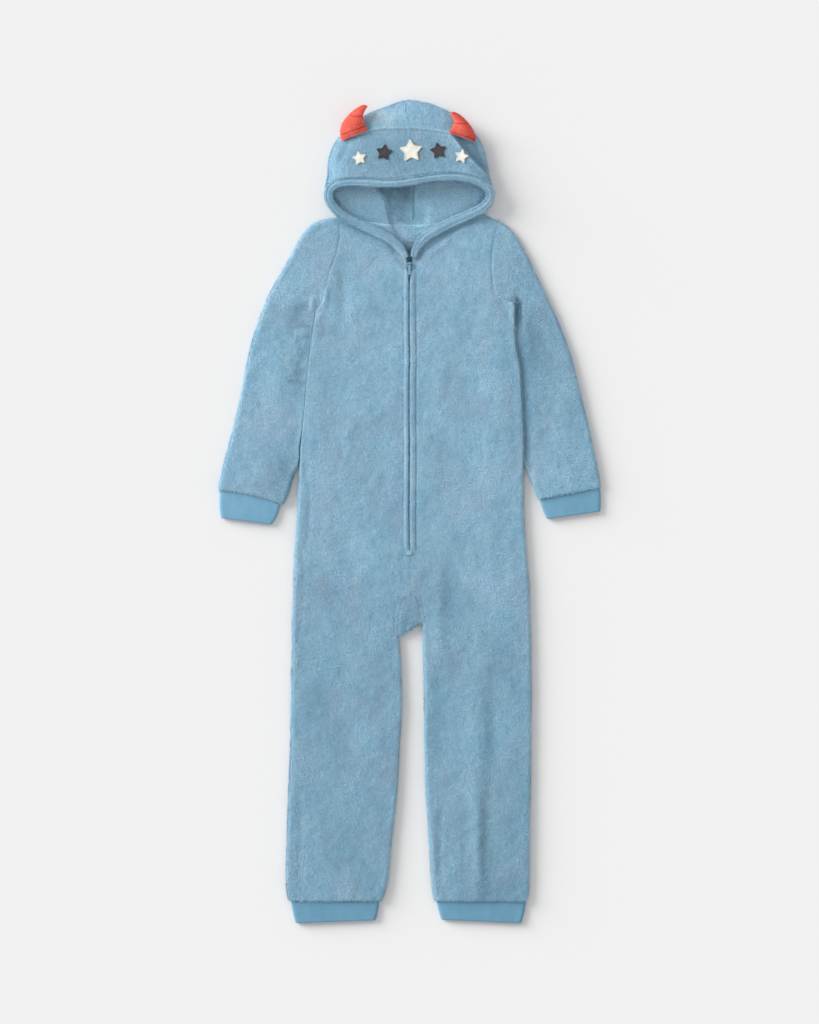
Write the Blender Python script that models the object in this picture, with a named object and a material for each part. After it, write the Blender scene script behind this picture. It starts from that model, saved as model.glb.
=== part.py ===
"""Child's hooded one-piece pajama in plush, laid flat on its back with the front up.

X runs across (the wearer's left is +X), Y up the body and Z up from the surface it lies on.
The tables are in millimetres; the objects are made in metres.
"""

import math

import bmesh
import bpy
import numpy as np

MM = 0.001

# Cloth
PLUSH = 3.8  # wall of the double-sided plush, with its pile
JERSEY = 2.2  # wall of the doubled jersey of the cuffs
SEAM = 0.3  # room between two pieces at a seam
SIDE_Z = 5.2  # height of the side seams and folds over the surface
ROLL = 5.5  # how far in from a side the cloth curves over
CROWN = 1.2  # how much the front swells towards its middle
CUFF_Z = 3.8  # height of a cuff's folds over the surface

# Hood
HOOD_ROLL_BACK = 12.0
HOOD_ROLL_FRONT = 30.0
HOOD_TOP_OPENING = 30.0  # height of the hood's front layer at the face opening
HOOD_TOP_SEAM = 22.0  # and at the brow seam
HOOD_TOP_END = 19.0  # and near its top edge

# Zip
ZIP_TOP = 352.0
ZIP_END = -58.0
ZIP_TAPE = 12.0
# height of the tapes' upper face. y, z
ZIP_TAPE_TOP = [(352.0, 4.6), (343.0, 4.9), (333.0, 5.8), (318.0, 6.1), (-58.0, 6.1)]
ZIP_TAPE_THICK = 0.5
BAR = (-1.0, 359.0, 13.7)  # the pull's hinge, through the slider's crossbar
BAR_RADIUS = 0.65
PULL_LENGTH = 16.0
PULL_WIDTH = 4.2
PULL_THICK = 1.1

# Front and back panels, row by row from the neck to the ankle: the edge at the middle of the
# body (zip, centre seam, gusset, inside leg) and the edge at the side (armhole, side seam).
# middle x, middle y, side x, side y
PANEL_RIGHT = [
    (-1.6, 361.8, -100.0, 427.8),
    (-1.6, 347.3, -101.5, 411.1),
    (-1.6, 329.9, -102.5, 393.7),
    (-1.6, 309.6, -108.8, 367.6),
    (-1.6, 289.3, -116.0, 350.2),
    (-1.6, 271.9, -121.8, 328.4),
    (-1.6, 257.4, -127.6, 304.3),
    (-1.6, 244.3, -137.0, 289.3),
    (-1.6, 229.8, -140.7, 274.8),
    (-1.6, 208.1, -145.7, 241.4),
    (-1.6, 182.0, -149.9, 205.2),
    (-1.6, 138.5, -154.4, 154.4),
    (-1.6, 89.2, -159.5, 95.0),
    (-1.6, 38.4, -162.7, 41.3),
    (-1.6, -12.3, -165.3, -12.3),
    (-0.3, -64.5, -168.8, -64.5),
    (0.3, -106.6, -170.2, -106.6),
    (-0.6, -123.2, -170.8, -124.0),
    (-8.7, -127.6, -171.1, -134.1),
    (-14.1, -137.8, -171.7, -145.7),
    (-17.0, -154.4, -172.3, -160.2),
    (-16.2, -177.6, -172.5, -180.5),
    (-15.2, -200.8, -172.3, -200.8),
    (-13.0, -273.3, -174.0, -273.3),
    (-14.5, -338.6, -174.4, -338.6),
    (-19.6, -411.1, -177.6, -411.1),
    (-27.6, -476.3, -179.8, -476.3),
    (-34.1, -534.3, -181.0, -534.3),
    (-40.6, -564.0, -177.6, -564.0),
]
PANEL_LEFT = [
    (-0.4, 361.8, 127.6, 423.4),
    (-0.4, 347.3, 124.0, 406.7),
    (-0.4, 329.9, 119.8, 387.9),
    (-0.4, 309.6, 118.0, 364.7),
    (-0.4, 289.3, 118.9, 340.0),
    (-0.4, 271.9, 122.5, 318.8),
    (-0.4, 257.4, 133.0, 308.0),
    (-0.4, 244.3, 150.7, 301.0),
    (-0.4, 229.8, 150.4, 280.6),
    (-0.4, 208.1, 151.8, 247.0),
    (-0.4, 182.0, 158.0, 211.0),
    (-0.4, 138.5, 160.9, 161.7),
    (-0.4, 89.2, 163.8, 103.7),
    (-0.4, 38.4, 165.9, 45.7),
    (-0.4, -12.3, 166.8, -9.4),
    (0.6, -64.5, 170.5, -64.5),
    (1.2, -106.6, 174.0, -106.6),
    (1.7, -123.2, 174.6, -124.0),
    (8.0, -127.6, 174.9, -134.1),
    (12.5, -137.8, 175.2, -145.7),
    (15.2, -150.1, 175.4, -155.9),
    (16.2, -166.0, 175.7, -171.8),
    (17.4, -197.9, 176.6, -197.9),
    (18.8, -273.3, 176.9, -273.3),
    (17.8, -338.6, 176.3, -338.6),
    (21.8, -411.1, 175.7, -411.1),
    (26.1, -476.3, 174.3, -476.3),
    (29.3, -534.3, 174.0, -534.3),
    (33.4, -564.0, 171.7, -564.8),
]
ARMHOLE_END = 7  # the panels' row at the underarm
ARCH_TOP = 17  # the row where the gusset's arch starts
CROTCH = 21  # the row where the inside leg starts
# The gusset's fold between the legs. x, y
GUSSET_FOLD = [(-16.2, -177.6), (-8.7, -176.6), (0.0, -173.3), (8.7, -168.6), (16.2, -166.0)]
# middle y of the back's rows, from the neck seam to where they run level with the front's
BACK_MIDDLE = [416.1, 401, 384, 366, 347, 328, 308, 290, 270, 240, 204, 150, 94.5, 40]

# The panels' top edges, under the hood's hem. x, y
NECK_FRONT_RIGHT = [(-1.6, 361.8), (-14.5, 377.0), (-31.9, 390.8), (-58.0, 405.3), (-84.1, 419.1),
                    (-100.0, 427.8)]
NECK_FRONT_LEFT = [(-0.4, 361.8), (8.7, 379.9), (24.6, 395.8), (47.9, 410.3), (79.8, 427.0),
                   (103.0, 434.0), (127.6, 423.4)]
NECK_BACK_RIGHT = [(0.0, 416.1), (-18.8, 416.6), (-36.2, 417.6), (-65.2, 421.3), (-84.1, 424.3),
                   (-100.0, 427.8)]
NECK_BACK_LEFT = [(0.0, 416.1), (23.2, 417.0), (43.5, 419.6), (72.5, 424.6), (103.0, 433.0),
                  (127.6, 423.4)]

# Sleeves, row by row from the shoulder to the hem: the fold over the arm and the fold under it.
# The first rows end at the armhole, at the panels' rows of the same number.
# over x, over y, under x, under y
SLEEVE_RIGHT = [
    (-124.0, 425.6, -100.3, 427.8),
    (-143.5, 416.5, -101.8, 411.1),
    (-158.0, 399.5, -102.8, 393.7),
    (-171.5, 376.0, -109.1, 367.6),
    (-182.0, 356.0, -116.3, 350.2),
    (-191.5, 340.0, -122.1, 328.4),
    (-202.0, 321.0, -127.9, 304.3),
    (-211.0, 301.5, -137.5, 289.3),
    (-217.0, 286.0, -141.4, 274.0),
    (-222.5, 271.0, -143.9, 258.0),
    (-229.5, 248.5, -147.7, 231.5),
    (-236.5, 220.0, -150.5, 205.2),
    (-243.5, 184.0, -153.6, 172.0),
    (-248.5, 158.5, -155.7, 147.0),
    (-254.0, 136.0, -158.2, 120.0),
    (-259.0, 114.0, -160.7, 95.0),
    (-265.0, 92.5, -164.5, 73.0),
    (-270.5, 72.0, -170.5, 50.0),
    (-275.5, 52.0, -177.0, 27.0),
    (-279.1, 31.2, -184.9, 9.4),
]
SLEEVE_LEFT = [
    (139.5, 417.0, 127.9, 423.4),
    (149.0, 407.5, 124.3, 406.7),
    (157.5, 392.0, 120.1, 387.9),
    (170.0, 369.0, 118.3, 364.7),
    (183.0, 344.0, 119.2, 340.0),
    (195.5, 319.0, 122.8, 318.8),
    (200.0, 309.5, 133.3, 308.0),
    (205.0, 299.0, 151.3, 301.5),
    (210.5, 287.0, 150.9, 287.0),
    (216.0, 274.0, 150.9, 272.0),
    (224.0, 254.0, 152.0, 250.0),
    (231.5, 234.0, 155.4, 229.0),
    (238.0, 213.0, 159.2, 205.5),
    (244.0, 189.0, 161.0, 178.0),
    (250.0, 163.0, 162.1, 150.0),
    (256.0, 140.0, 163.6, 122.0),
    (261.0, 118.0, 165.3, 98.0),
    (266.0, 95.0, 169.3, 78.0),
    (272.0, 68.0, 176.5, 49.0),
    (277.8, 35.5, 185.3, 17.4),
]

# Cuffs, from the hem they join to their own end. one side x, y, other side x, y
CUFF_WRIST_RIGHT = [(-275.8, 30.0, -187.8, 9.65), (-275.9, 8.0, -192.8, -6.5),
                    (-274.1, -9.4, -200.1, -18.8)]
CUFF_WRIST_LEFT = [(275.6, 34.4, 188.2, 17.3), (276.6, 16.0, 193.2, 2.0),
                   (275.9, 0.1, 198.7, -10.9)]
CUFF_ANKLE_RIGHT = [(-172.6, -564.6, -44.4, -564.8), (-169.6, -580.5, -46.4, -579.5),
                    (-165.7, -596.7, -49.7, -592.3)]
CUFF_ANKLE_LEFT = [(38.4, -564.9, 168.4, -565.6), (41.8, -578.5, 165.6, -581.0),
                   (45.5, -591.5, 161.5, -596.7)]

# The hood's outline from the right end of the neck over the top to the left end. x, y
HOOD_OUTLINE = [
    (-114.5, 440.8), (-121.1, 448.8), (-124.3, 458.9), (-122.5, 472.0), (-119.9, 486.5),
    (-119.5, 501.0), (-118.0, 515.5), (-113.8, 530.0), (-107.3, 541.6), (-99.3, 554.6),
    (-89.9, 566.9), (-78.3, 578.5), (-63.8, 586.5), (-46.4, 592.3), (-26.1, 595.5),
    (-5.1, 596.7), (13.0, 595.2), (33.4, 590.1), (52.2, 582.2), (68.1, 572.0),
    (81.2, 561.1), (91.3, 551.7), (100.0, 540.1), (105.8, 528.5), (109.5, 515.5),
    (112.4, 501.0), (115.3, 486.5), (118.9, 472.0), (122.8, 458.9), (119.6, 448.8),
    (113.8, 441.5),
]
HOOD_NECK = [
    (-100.0, 429.4), (-84.1, 425.4), (-65.2, 422.3), (-36.2, 418.6), (-18.8, 417.5),
    (2.0, 417.0), (23.2, 417.9), (43.5, 420.5), (72.5, 425.6), (89.9, 430.0), (103.0, 434.4),
]
BROW_SEAM = [
    (-108.4, 539.6), (-99.5, 540.4), (-84.1, 545.0), (-62.4, 552.0), (-36.2, 554.6),
    (-5.1, 555.6), (21.8, 554.2), (55.1, 549.4), (75.4, 543.0), (95.0, 535.8), (103.6, 533.0),
]
# The hood's outline stations where the brow seam meets it
SEAM_END_RIGHT = 7.85
SEAM_END_LEFT = 22.6
HEM_BEND = 4.5  # how far the right sleeve's hem bows up in its middle
# Stations along the outline where the hood's back and its brow band meet, then where the crown is
BAND_RIGHT = [7.85, 7.4, 6.4, 5.4, 4.5, 3.8, 3.3]
BAND_LEFT = [22.6, 23.05, 24.0, 24.9, 25.7, 26.3, 26.7]
CROWN_RIGHT = [7.92, 8.1, 8.5, 9.1, 10, 11.2, 12.4, 13.7, 15]
CROWN_LEFT = [15, 16.4, 17.8, 19.1, 20.4, 21.3, 21.9, 22.33, 22.52]
# height of the hood's side over the surface. y, z
HOOD_SIDE = [(430, 10.0), (441, 11.0), (448, 12.2), (456, 13.4), (467, 14.6), (477, 12.5),
             (486, 9.4), (500, 9.0), (600, 9.0)]

# The folded hem round the face opening, from the zip's top round to it again.
# x, y, z of its middle, width, thickness
HEM = [
    (-5.6, 367.6, 12.6, 6.5, 5.6),
    (-11.6, 378.4, 12.7, 10.5, 6.4),
    (-25.4, 392.9, 12.8, 13.6, 6.6),
    (-46.4, 404.6, 13.0, 14.2, 6.8),
    (-72.5, 416.1, 13.6, 14.0, 7.0),
    (-95.7, 427.8, 15.0, 13.4, 7.0),
    (-110.6, 441.2, 17.0, 12.8, 7.0),
    (-117.4, 455.3, 19.2, 12.4, 7.0),
    (-115.0, 467.4, 21.4, 12.2, 7.0),
    (-105.0, 474.2, 23.4, 12.2, 7.2),
    (-89.9, 477.0, 25.2, 12.2, 7.4),
    (-63.8, 477.1, 26.5, 12.2, 7.4),
    (-37.7, 475.6, 27.1, 12.2, 7.4),
    (-11.6, 476.8, 27.4, 12.2, 7.4),
    (11.6, 480.3, 27.4, 12.2, 7.4),
    (36.2, 484.0, 27.1, 12.2, 7.4),
    (60.9, 485.3, 26.5, 12.2, 7.4),
    (84.1, 482.4, 25.2, 12.2, 7.4),
    (101.5, 476.0, 23.4, 12.2, 7.2),
    (113.0, 466.9, 21.4, 12.2, 7.0),
    (115.9, 455.3, 19.2, 12.4, 7.0),
    (107.6, 442.0, 17.0, 12.8, 7.0),
    (87.0, 430.8, 15.0, 13.4, 7.0),
    (60.9, 419.5, 13.6, 14.0, 7.0),
    (34.8, 405.6, 13.0, 14.2, 6.8),
    (18.8, 394.6, 12.8, 12.6, 6.6),
    (8.9, 381.3, 12.7, 10.0, 6.4),
    (4.2, 368.6, 12.6, 6.5, 5.6),
]
# Edge of the fold that the hood's right side makes inside the face opening. x, y
INNER_FOLD = [(-50.0, 500.0), (-46.4, 461.8), (-38.4, 441.0), (-24.7, 405.3), (-14.5, 386.4)]

# Horns, ring by ring from the brow seam to the tip. outer x, y, inner x, y, half height
HORN_RIGHT = [
    (-100.0, 541.4, -61.5, 553.6, 2.6), (-101.6, 548.5, -65.3, 561.0, 4.6),
    (-99.6, 558.5, -67.0, 569.5, 5.6), (-93.5, 568.8, -66.8, 577.0, 5.2),
    (-84.5, 579.0, -65.4, 583.6, 4.2), (-75.0, 586.6, -64.2, 587.6, 3.0),
    (-68.2, 589.6, -64.4, 589.3, 1.4),
]
HORN_LEFT = [
    (95.0, 536.9, 56.6, 550.3, 2.6), (94.6, 544.0, 61.2, 556.6, 4.6),
    (91.0, 552.9, 63.8, 562.9, 5.6), (85.0, 561.8, 63.8, 568.8, 5.0),
    (77.6, 570.6, 62.6, 573.6, 3.8), (70.4, 576.6, 61.2, 577.2, 2.6),
    (66.0, 578.9, 61.6, 579.2, 1.3),
]
HORN_LIFT = (20.5, 25.5)  # height of a horn's middle at its outer and inner side

# Appliques on the brow: x, y, radius, turn in degrees, and whether it is dark
STARS = [
    (-73.0, 511.0, 10.5, 12, False), (-37.5, 519.5, 12.5, -8, True), (1.5, 521.5, 17.5, 4, False),
    (41.0, 522.0, 12.5, 10, True), (74.5, 513.5, 10.5, -14, False),
]
STAR_THICK = 1.2

# Soft folds of the front layers, from one end to the other: x, y, x, y, half width, height
FOLDS = [
    (109.0, -180.0, 108.0, -420.0, 9.0, 0.9),
    (120.0, -190.0, 119.0, -430.0, 10.0, -0.9),
    (46.0, -215.0, 47.0, -400.0, 11.0, -0.7),
    (-141.0, 318.0, -158.0, 236.0, 7.0, 0.8),
    (-148.0, 275.0, -176.0, 250.0, 6.0, -0.8),
    (128.0, 312.0, 152.0, 262.0, 5.0, -0.9),
    (158.0, 330.0, 166.0, 250.0, 8.0, 0.9),
    (92.0, 400.0, 120.0, 250.0, 16.0, 0.7),
    (-84.0, 60.0, -60.0, -90.0, 22.0, 0.6),
    (84.0, 70.0, 66.0, -80.0, 22.0, -0.5),
    (-30.0, -150.0, -84.0, -250.0, 14.0, 0.7),
    (30.0, -150.0, 60.0, -240.0, 12.0, 0.7),
    (-214.0, 220.0, -206.0, 120.0, 12.0, -0.8),
    (212.0, 190.0, 224.0, 90.0, 12.0, 0.7),
]

COLOURS = {
    "plush": (0.200, 0.390, 0.520),
    "jersey": (0.140, 0.350, 0.500),
    "coral": (0.800, 0.090, 0.060),
    "white": (0.820, 0.800, 0.740),
    "charcoal": (0.060, 0.050, 0.055),
    "tape": (0.120, 0.270, 0.380),
    "enamel": (0.150, 0.350, 0.500),
}
ROUGHNESS = {"plush": 1.0, "jersey": 0.8, "coral": 0.9, "white": 0.9, "charcoal": 0.9, "tape": 0.7,
             "enamel": 0.35}


def smooth(t):
    """0 to 1 as t goes from 0 to 1, level at both ends."""
    t = np.clip(t, 0.0, 1.0)
    return t * t * (3 - 2 * t)


def through(table, at):
    """The rows of a table at fractional row numbers, on a smooth curve through them."""
    p = np.asarray(table, float)
    p = np.vstack([2 * p[0] - p[1], p, 2 * p[-1] - p[-2]])
    at = np.clip(np.asarray(at, float), 0, len(p) - 3)
    i = np.minimum(at.astype(int), len(p) - 4)
    f = (at - i)[:, None]
    a, b, c, d = p[i], p[i + 1], p[i + 2], p[i + 3]
    return b + 0.5 * f * (c - a + f * (2 * a - 5 * b + 4 * c - d + f * (3 * (b - c) + d - a)))


def fine(table, first=0, last=None):
    """A smooth curve through some of a table's rows, in twelfths of a row."""
    last = len(table) - 1 if last is None else last
    return through(table, np.linspace(first, last, int(round(12 * abs(last - first))) + 1))


def nearest(points, lines, inside):
    """How far each point is from the nearest of some lines, and which way out that line is."""
    best, out = np.full(len(points), 1e9), np.zeros((len(points), 2))
    for line in lines:
        a, ab = line[:-1], np.diff(line, axis=0)
        keep = (ab**2).sum(1) > 1e-12
        a, ab = a[keep], ab[keep]
        t = np.clip(((points[:, None] - a) * ab).sum(2) / (ab**2).sum(1), 0, 1)
        gap = a + t[..., None] * ab - points[:, None]
        far = np.sqrt((gap**2).sum(2))
        k = far.argmin(1)
        each = np.arange(len(points))
        gap, far = gap[each, k], far[each, k]
        across = np.stack([ab[k, 1], -ab[k, 0]], 1) / np.sqrt((ab[k] ** 2).sum(1))[:, None]
        across *= np.where(((points + gap - inside) * across).sum(1) < 0, -1, 1)[:, None]
        way = np.where(far[:, None] > 0.05, gap / np.maximum(far, 1e-9)[:, None], across)
        closer = far < best
        best, out = np.where(closer, far, best), np.where(closer[:, None], way, out)
    return best, out


def distance(points, line):
    """How far each point is from a line."""
    return nearest(points, [line], points)[0]


def layer(plan, edges, side, wall, side_z, rise, reach, lift=None, inner_lift=None):
    """Both skins of a layer of cloth over a grid of plan points: (outer, inner).

    It curves to side_z at the edges, from above for side 1 and from the surface for side -1.
    """
    shape = plan.shape[:2]
    xy = plan.reshape(-1, 2)
    inside = np.repeat(0.7 * plan.mean(1) + 0.3 * plan.mean((0, 1)), shape[1], axis=0)
    d, out = nearest(xy, edges, inside)
    d = np.where(d < 0.03, 0.0, d)
    side_z, rise = (f(xy) if callable(f) else np.full(len(xy), float(f)) for f in (side_z, rise))
    c = np.clip(1 - d / reach, 0, 1)
    s = np.sqrt(1 - c * c)
    normal = np.column_stack([(rise * c)[:, None] * out, side * reach * s])
    normal /= np.sqrt((normal**2).sum(1))[:, None]
    outer = np.column_stack([xy, side_z + side * rise * s])
    inner = outer - wall * normal
    if lift is not None:
        up = lift(xy, d)
        outer[:, 2] += up
        inner[:, 2] += up
    if inner_lift is not None:
        inner[:, 2] += inner_lift(xy)
    return outer.reshape(*shape, 3), inner.reshape(*shape, 3)


class Cloth:
    """Grids of two skins that become one closed wall."""

    def __init__(self):
        self.skins, self.faces, self.count = [], [], 0

    def grid(self, skins):
        outer, inner = skins
        rows, columns = outer.shape[:2]
        index = self.count + np.arange(rows * columns).reshape(rows, columns)
        self.skins.append(np.concatenate([outer, inner], axis=2).reshape(-1, 6))
        self.count += rows * columns
        for i in range(rows - 1):
            for j in range(columns - 1):
                self.faces.append((index[i, j], index[i, j + 1], index[i + 1, j + 1], index[i + 1, j]))

    def make(self, name, material):
        skins = np.concatenate(self.skins)
        keys = np.round((skins + 0.00137) * 200).astype(int)
        _, first, which = np.unique(keys, axis=0, return_index=True, return_inverse=True)
        which = which.ravel()
        skins = skins[first]
        count = len(skins)
        faces = []
        for face in self.faces:
            face = [int(which[i]) for i in face]
            face = [v for k, v in enumerate(face) if v != face[k - 1]]
            if len(face) > 2:
                faces.append(face)
        used = {(f[k - 1], f[k]) for f in faces for k in range(len(f))}
        walls = [(b, a, a + count, b + count) for a, b in sorted(used) if (b, a) not in used]
        back = [[v + count for v in reversed(f)] for f in faces]
        points = np.concatenate([skins[:, :3], skins[:, 3:]]) * MM
        return add_mesh(name, points, faces + back + walls, material)


def add_mesh(name, points, faces, material):
    mesh = bpy.data.meshes.new(name)
    mesh.from_pydata([tuple(map(float, p)) for p in points], [], [tuple(f) for f in faces])
    form = bmesh.new()
    form.from_mesh(mesh)
    bmesh.ops.recalc_face_normals(form, faces=form.faces)
    form.to_mesh(mesh)
    form.free()
    mesh.polygons.foreach_set("use_smooth", [True] * len(mesh.polygons))
    made = bpy.data.objects.new(name, mesh)
    mesh.materials.append(material)
    bpy.data.collections["Onesie pajama"].objects.link(made)
    return made


def add_material(name):
    made = bpy.data.materials.new(name)
    made.use_nodes = True
    shader = made.node_tree.nodes["Principled BSDF"]
    shader.inputs["Base Color"].default_value = (*COLOURS[name], 1.0)
    shader.inputs["Roughness"].default_value = ROUGHNESS[name]
    return made


def across(width, middle, side, count):
    """Stations across a panel: close together near its edges, count more between them."""
    between = np.linspace(middle[-1], width - side[-1], count + 2)[1:-1]
    return np.concatenate([middle, between, width - np.array(side[::-1])])


def rows_between(start, end, columns):
    """Plan points on straight rows from start to end, at the distances that columns(width) gives."""
    plan = []
    for a, b in zip(start, end):
        width = math.dist(a, b)
        plan.append([a + (b - a) * s / width for s in columns(width)])
    return np.array(plan)


def bow(plan, shares):
    """Raises the middle of the rows, in a bow."""
    share = np.sqrt(((plan - plan[:, :1]) ** 2).sum(2))
    share /= share[:, -1:]
    plan[..., 1] += HEM_BEND * shares[:, None] * 4 * share * (1 - share)


def bend(plan, rows, line, fade):
    """Lets the first row follow a line, and the next ones follow it less."""
    length = np.concatenate([[0], np.cumsum(np.sqrt((np.diff(line, axis=0) ** 2).sum(1)))])
    share = np.sqrt(((plan[0] - plan[0][0]) ** 2).sum(1))
    share /= share[-1]
    at = share * length[-1]
    wanted = np.column_stack([np.interp(at, length, line[:, k]) for k in (0, 1)])
    move = wanted - plan[0]
    for i, row in enumerate(rows):
        plan[i] += move * (1 - smooth(row / fade))
    return plan


def middle_line(y):
    """x of the zip and the centre seam."""
    return np.interp(y, [-123, -106, -64, -40], [0.55, 0.75, 0.15, -1.0])


NECK_LINES = [fine(NECK_FRONT_RIGHT), fine(NECK_FRONT_LEFT)]
SIDES = {
    "right": fine([r[2:] for r in PANEL_RIGHT], ARMHOLE_END),
    "left": fine([r[2:] for r in PANEL_LEFT], ARMHOLE_END),
}
ARMHOLES = {
    "right": fine([r[2:] for r in PANEL_RIGHT], 0, ARMHOLE_END),
    "left": fine([r[2:] for r in PANEL_LEFT], 0, ARMHOLE_END),
}
INSIDE_LEGS = np.concatenate([
    fine([r[:2] for r in PANEL_RIGHT], CROTCH)[::-1], fine(GUSSET_FOLD)[1:-1],
    fine([r[:2] for r in PANEL_LEFT], CROTCH),
])
OVERARMS = {
    "right": np.concatenate([[(-100.3, 428.1)], fine([r[:2] for r in SLEEVE_RIGHT])]),
    "left": np.concatenate([[(103.0, 434.0), (127.9, 423.7)], fine([r[:2] for r in SLEEVE_LEFT])]),
}
UNDERARMS = {
    "right": fine([r[2:] for r in SLEEVE_RIGHT], ARMHOLE_END),
    "left": fine([r[2:] for r in SLEEVE_LEFT], ARMHOLE_END),
}
SEAM_LINES = [ARMHOLES["right"], ARMHOLES["left"],
              np.array([(0.15, ZIP_END - 6), (0.75, -106.0), (0.55, -123.0)]),
              fine([r[:2] for r in PANEL_RIGHT], ARCH_TOP, CROTCH),
              fine([r[:2] for r in PANEL_LEFT], ARCH_TOP, CROTCH)]
OUTLINE = fine(HOOD_OUTLINE)


def front_lift(xy, d):
    """How much the front layers stand over their plain height: swell, folds, seams and zip lips."""
    up = CROWN * smooth(d / 55)
    for x1, y1, x2, y2, width, height in FOLDS:
        a, ab = np.array((x1, y1)), np.array((x2 - x1, y2 - y1))
        t = ((xy - a) @ ab) / (ab @ ab)
        far = np.sqrt(((a + np.clip(t, 0, 1)[:, None] * ab - xy) ** 2).sum(1))
        up += height * np.exp(-((far / width) ** 2)) * smooth(t / 0.3) * smooth((1 - t) / 0.3)
    for line in SEAM_LINES:
        up -= 0.9 * np.exp(-((distance(xy, line) / 2.8) ** 2))
    lip = np.abs(xy[:, 0] - middle_line(xy[:, 1]))
    on_zip = smooth((xy[:, 1] - ZIP_END) / 8)
    up += on_zip * (0.9 * np.exp(-(((lip - 3.6) / 3.0) ** 2)) - 0.9 * np.exp(-(((lip - 8.6) / 1.3) ** 2)))
    neck = np.minimum(distance(xy, NECK_LINES[0]), distance(xy, NECK_LINES[1]))
    up += (-1.7 - up) * (1 - smooth((neck - 7.5) / 9)) * (xy[:, 1] > 350)
    return up * smooth(d / 7)


# Row numbers of a panel, with more of them where it bends
PANEL_ROWS = np.array([0, 0.5, *range(1, ARCH_TOP), 17, 17.5, 18, 18.5, 19, 20, 21, 21.5, 22, 23, 24,
                       25, 26, 27, 27.88, 28], float)


def panel_plan(side, back, middle, count):
    """A panel's grid, from its middle edge to its side."""
    toward = -1 if side == "right" else 1
    table = np.array(PANEL_RIGHT if side == "right" else PANEL_LEFT)
    rows = PANEL_ROWS
    made = through(table, rows)
    upper = rows <= ARCH_TOP
    if back:
        table[: len(BACK_MIDDLE), 1] = BACK_MIDDLE
        made[upper, 1] = through(table, rows[upper])[:, 1]
        made[upper, 0] = middle_line(made[upper, 1])
    else:
        made[:, 0] += toward * np.interp(rows, [0, 0.5, 1, 2], [3.1, 3.4, 1.8, 0])
    plan = rows_between(made[:, :2], made[:, 2:], lambda w: across(w, middle, EDGE, count))
    neck = {("right", False): NECK_FRONT_RIGHT, ("left", False): NECK_FRONT_LEFT,
            ("right", True): NECK_BACK_RIGHT, ("left", True): NECK_BACK_LEFT}[side, back]
    neck = fine(neck)
    neck = neck[(neck[:, 0] - plan[0][0][0]) * toward > 0.5]
    neck = np.concatenate([[plan[0][0]], neck[:-1], [plan[0][-1]]])
    return bend(plan, rows, neck, 6)


EDGE = [0.0, 0.74, 2.75, 5.5]
EDGE_MIDDLE = [0.0, 0.74, 2.75, 5.5, 8.6, 12.0]


def add_front(side, material):
    plan = panel_plan(side, False, EDGE_MIDDLE, 4)
    cloth = Cloth()
    cloth.grid(layer(plan, [SIDES[side], INSIDE_LEGS, OVERARMS[side]], 1, PLUSH,
                     SIDE_Z + SEAM / 2, 5.0, ROLL, front_lift))
    return cloth.make(f"front_{side}", material)


def add_back(material):
    cloth = Cloth()
    for side in ("right", "left"):
        plan = panel_plan(side, True, EDGE, 4)
        skins = layer(plan, [SIDES[side], INSIDE_LEGS, OVERARMS[side]], -1, PLUSH,
                      SIDE_Z - SEAM / 2, SIDE_Z - SEAM / 2, ROLL)
        if side == "right":
            skins = [s[:, ::-1] for s in skins]
        cloth.grid(skins)
    return cloth.make("back", material)


def add_gusset(material):
    """The gusset: its front half, the fold at the crotch and its back half."""
    rows = np.array([17.75, 18, 18.5, 19, 20, 20.6, CROTCH])
    right = through([r[:2] for r in PANEL_RIGHT], rows)
    left = through([r[:2] for r in PANEL_LEFT], rows)
    plan = []
    for a, b, inset in zip(right[:-1], left[:-1], (0.5, 0.5, 0.5, 0.5, 0.8, 1.1)):
        width = math.dist(a, b)
        plan.append([a + (b - a) * t for t in np.linspace(inset / width, 1 - inset / width, 7)])
    fold = through(GUSSET_FOLD, np.linspace(0.1, 3.86, 7))
    for t in (0.6, 0.88):
        plan.append(np.array(plan[5]) + (fold - np.array(plan[5])) * t)
    plan.append(fold)
    plan = np.array(plan)
    plan[0, :, 1] -= 0.7
    cloth = Cloth()
    front = layer(plan, [INSIDE_LEGS], 1, PLUSH, SIDE_Z, 5.0, ROLL, front_lift)
    behind = layer(plan, [INSIDE_LEGS], -1, PLUSH, SIDE_Z, SIDE_Z, ROLL)
    cloth.grid([np.concatenate([f, b[-2::-1]]) for f, b in zip(front, behind)])
    return cloth.make("gusset", material)


def add_tube(name, plan, edges, wall, side_z, rise, roll, material, lift=None):
    """A flattened tube: its upper layer, and its under layer back to the start."""
    cloth = Cloth()
    upper = layer(plan, edges, 1, wall, side_z, rise, roll, lift)
    under = layer(plan, edges, -1, wall, side_z, side_z, roll)
    cloth.grid(upper)
    cloth.grid([skin[:, ::-1] for skin in under])
    return cloth.make(name, material)


def add_sleeve(side, material):
    table = SLEEVE_RIGHT if side == "right" else SLEEVE_LEFT
    rows = np.array([0, 0.5, *range(1, len(table) - 1), 18.88, 19], float)
    made = through(table, rows)
    hole = rows <= ARMHOLE_END
    panel = [r[2:] for r in (PANEL_RIGHT if side == "right" else PANEL_LEFT)]
    made[hole, 2:] = through(panel, rows[hole]) + (SEAM if side == "left" else -SEAM, SEAM)
    made[rows == ARMHOLE_END, 2:] = table[ARMHOLE_END][2:]
    plan = rows_between(made[:, :2], made[:, 2:], lambda w: across(w, EDGE, EDGE, 3))
    if side == "right":
        bow(plan, smooth((rows - 15) / 4))
    return add_tube(f"sleeve_{side}", plan, [OVERARMS[side], UNDERARMS[side]], PLUSH, SIDE_Z, 5.0,
                    ROLL, material, front_lift)


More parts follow.
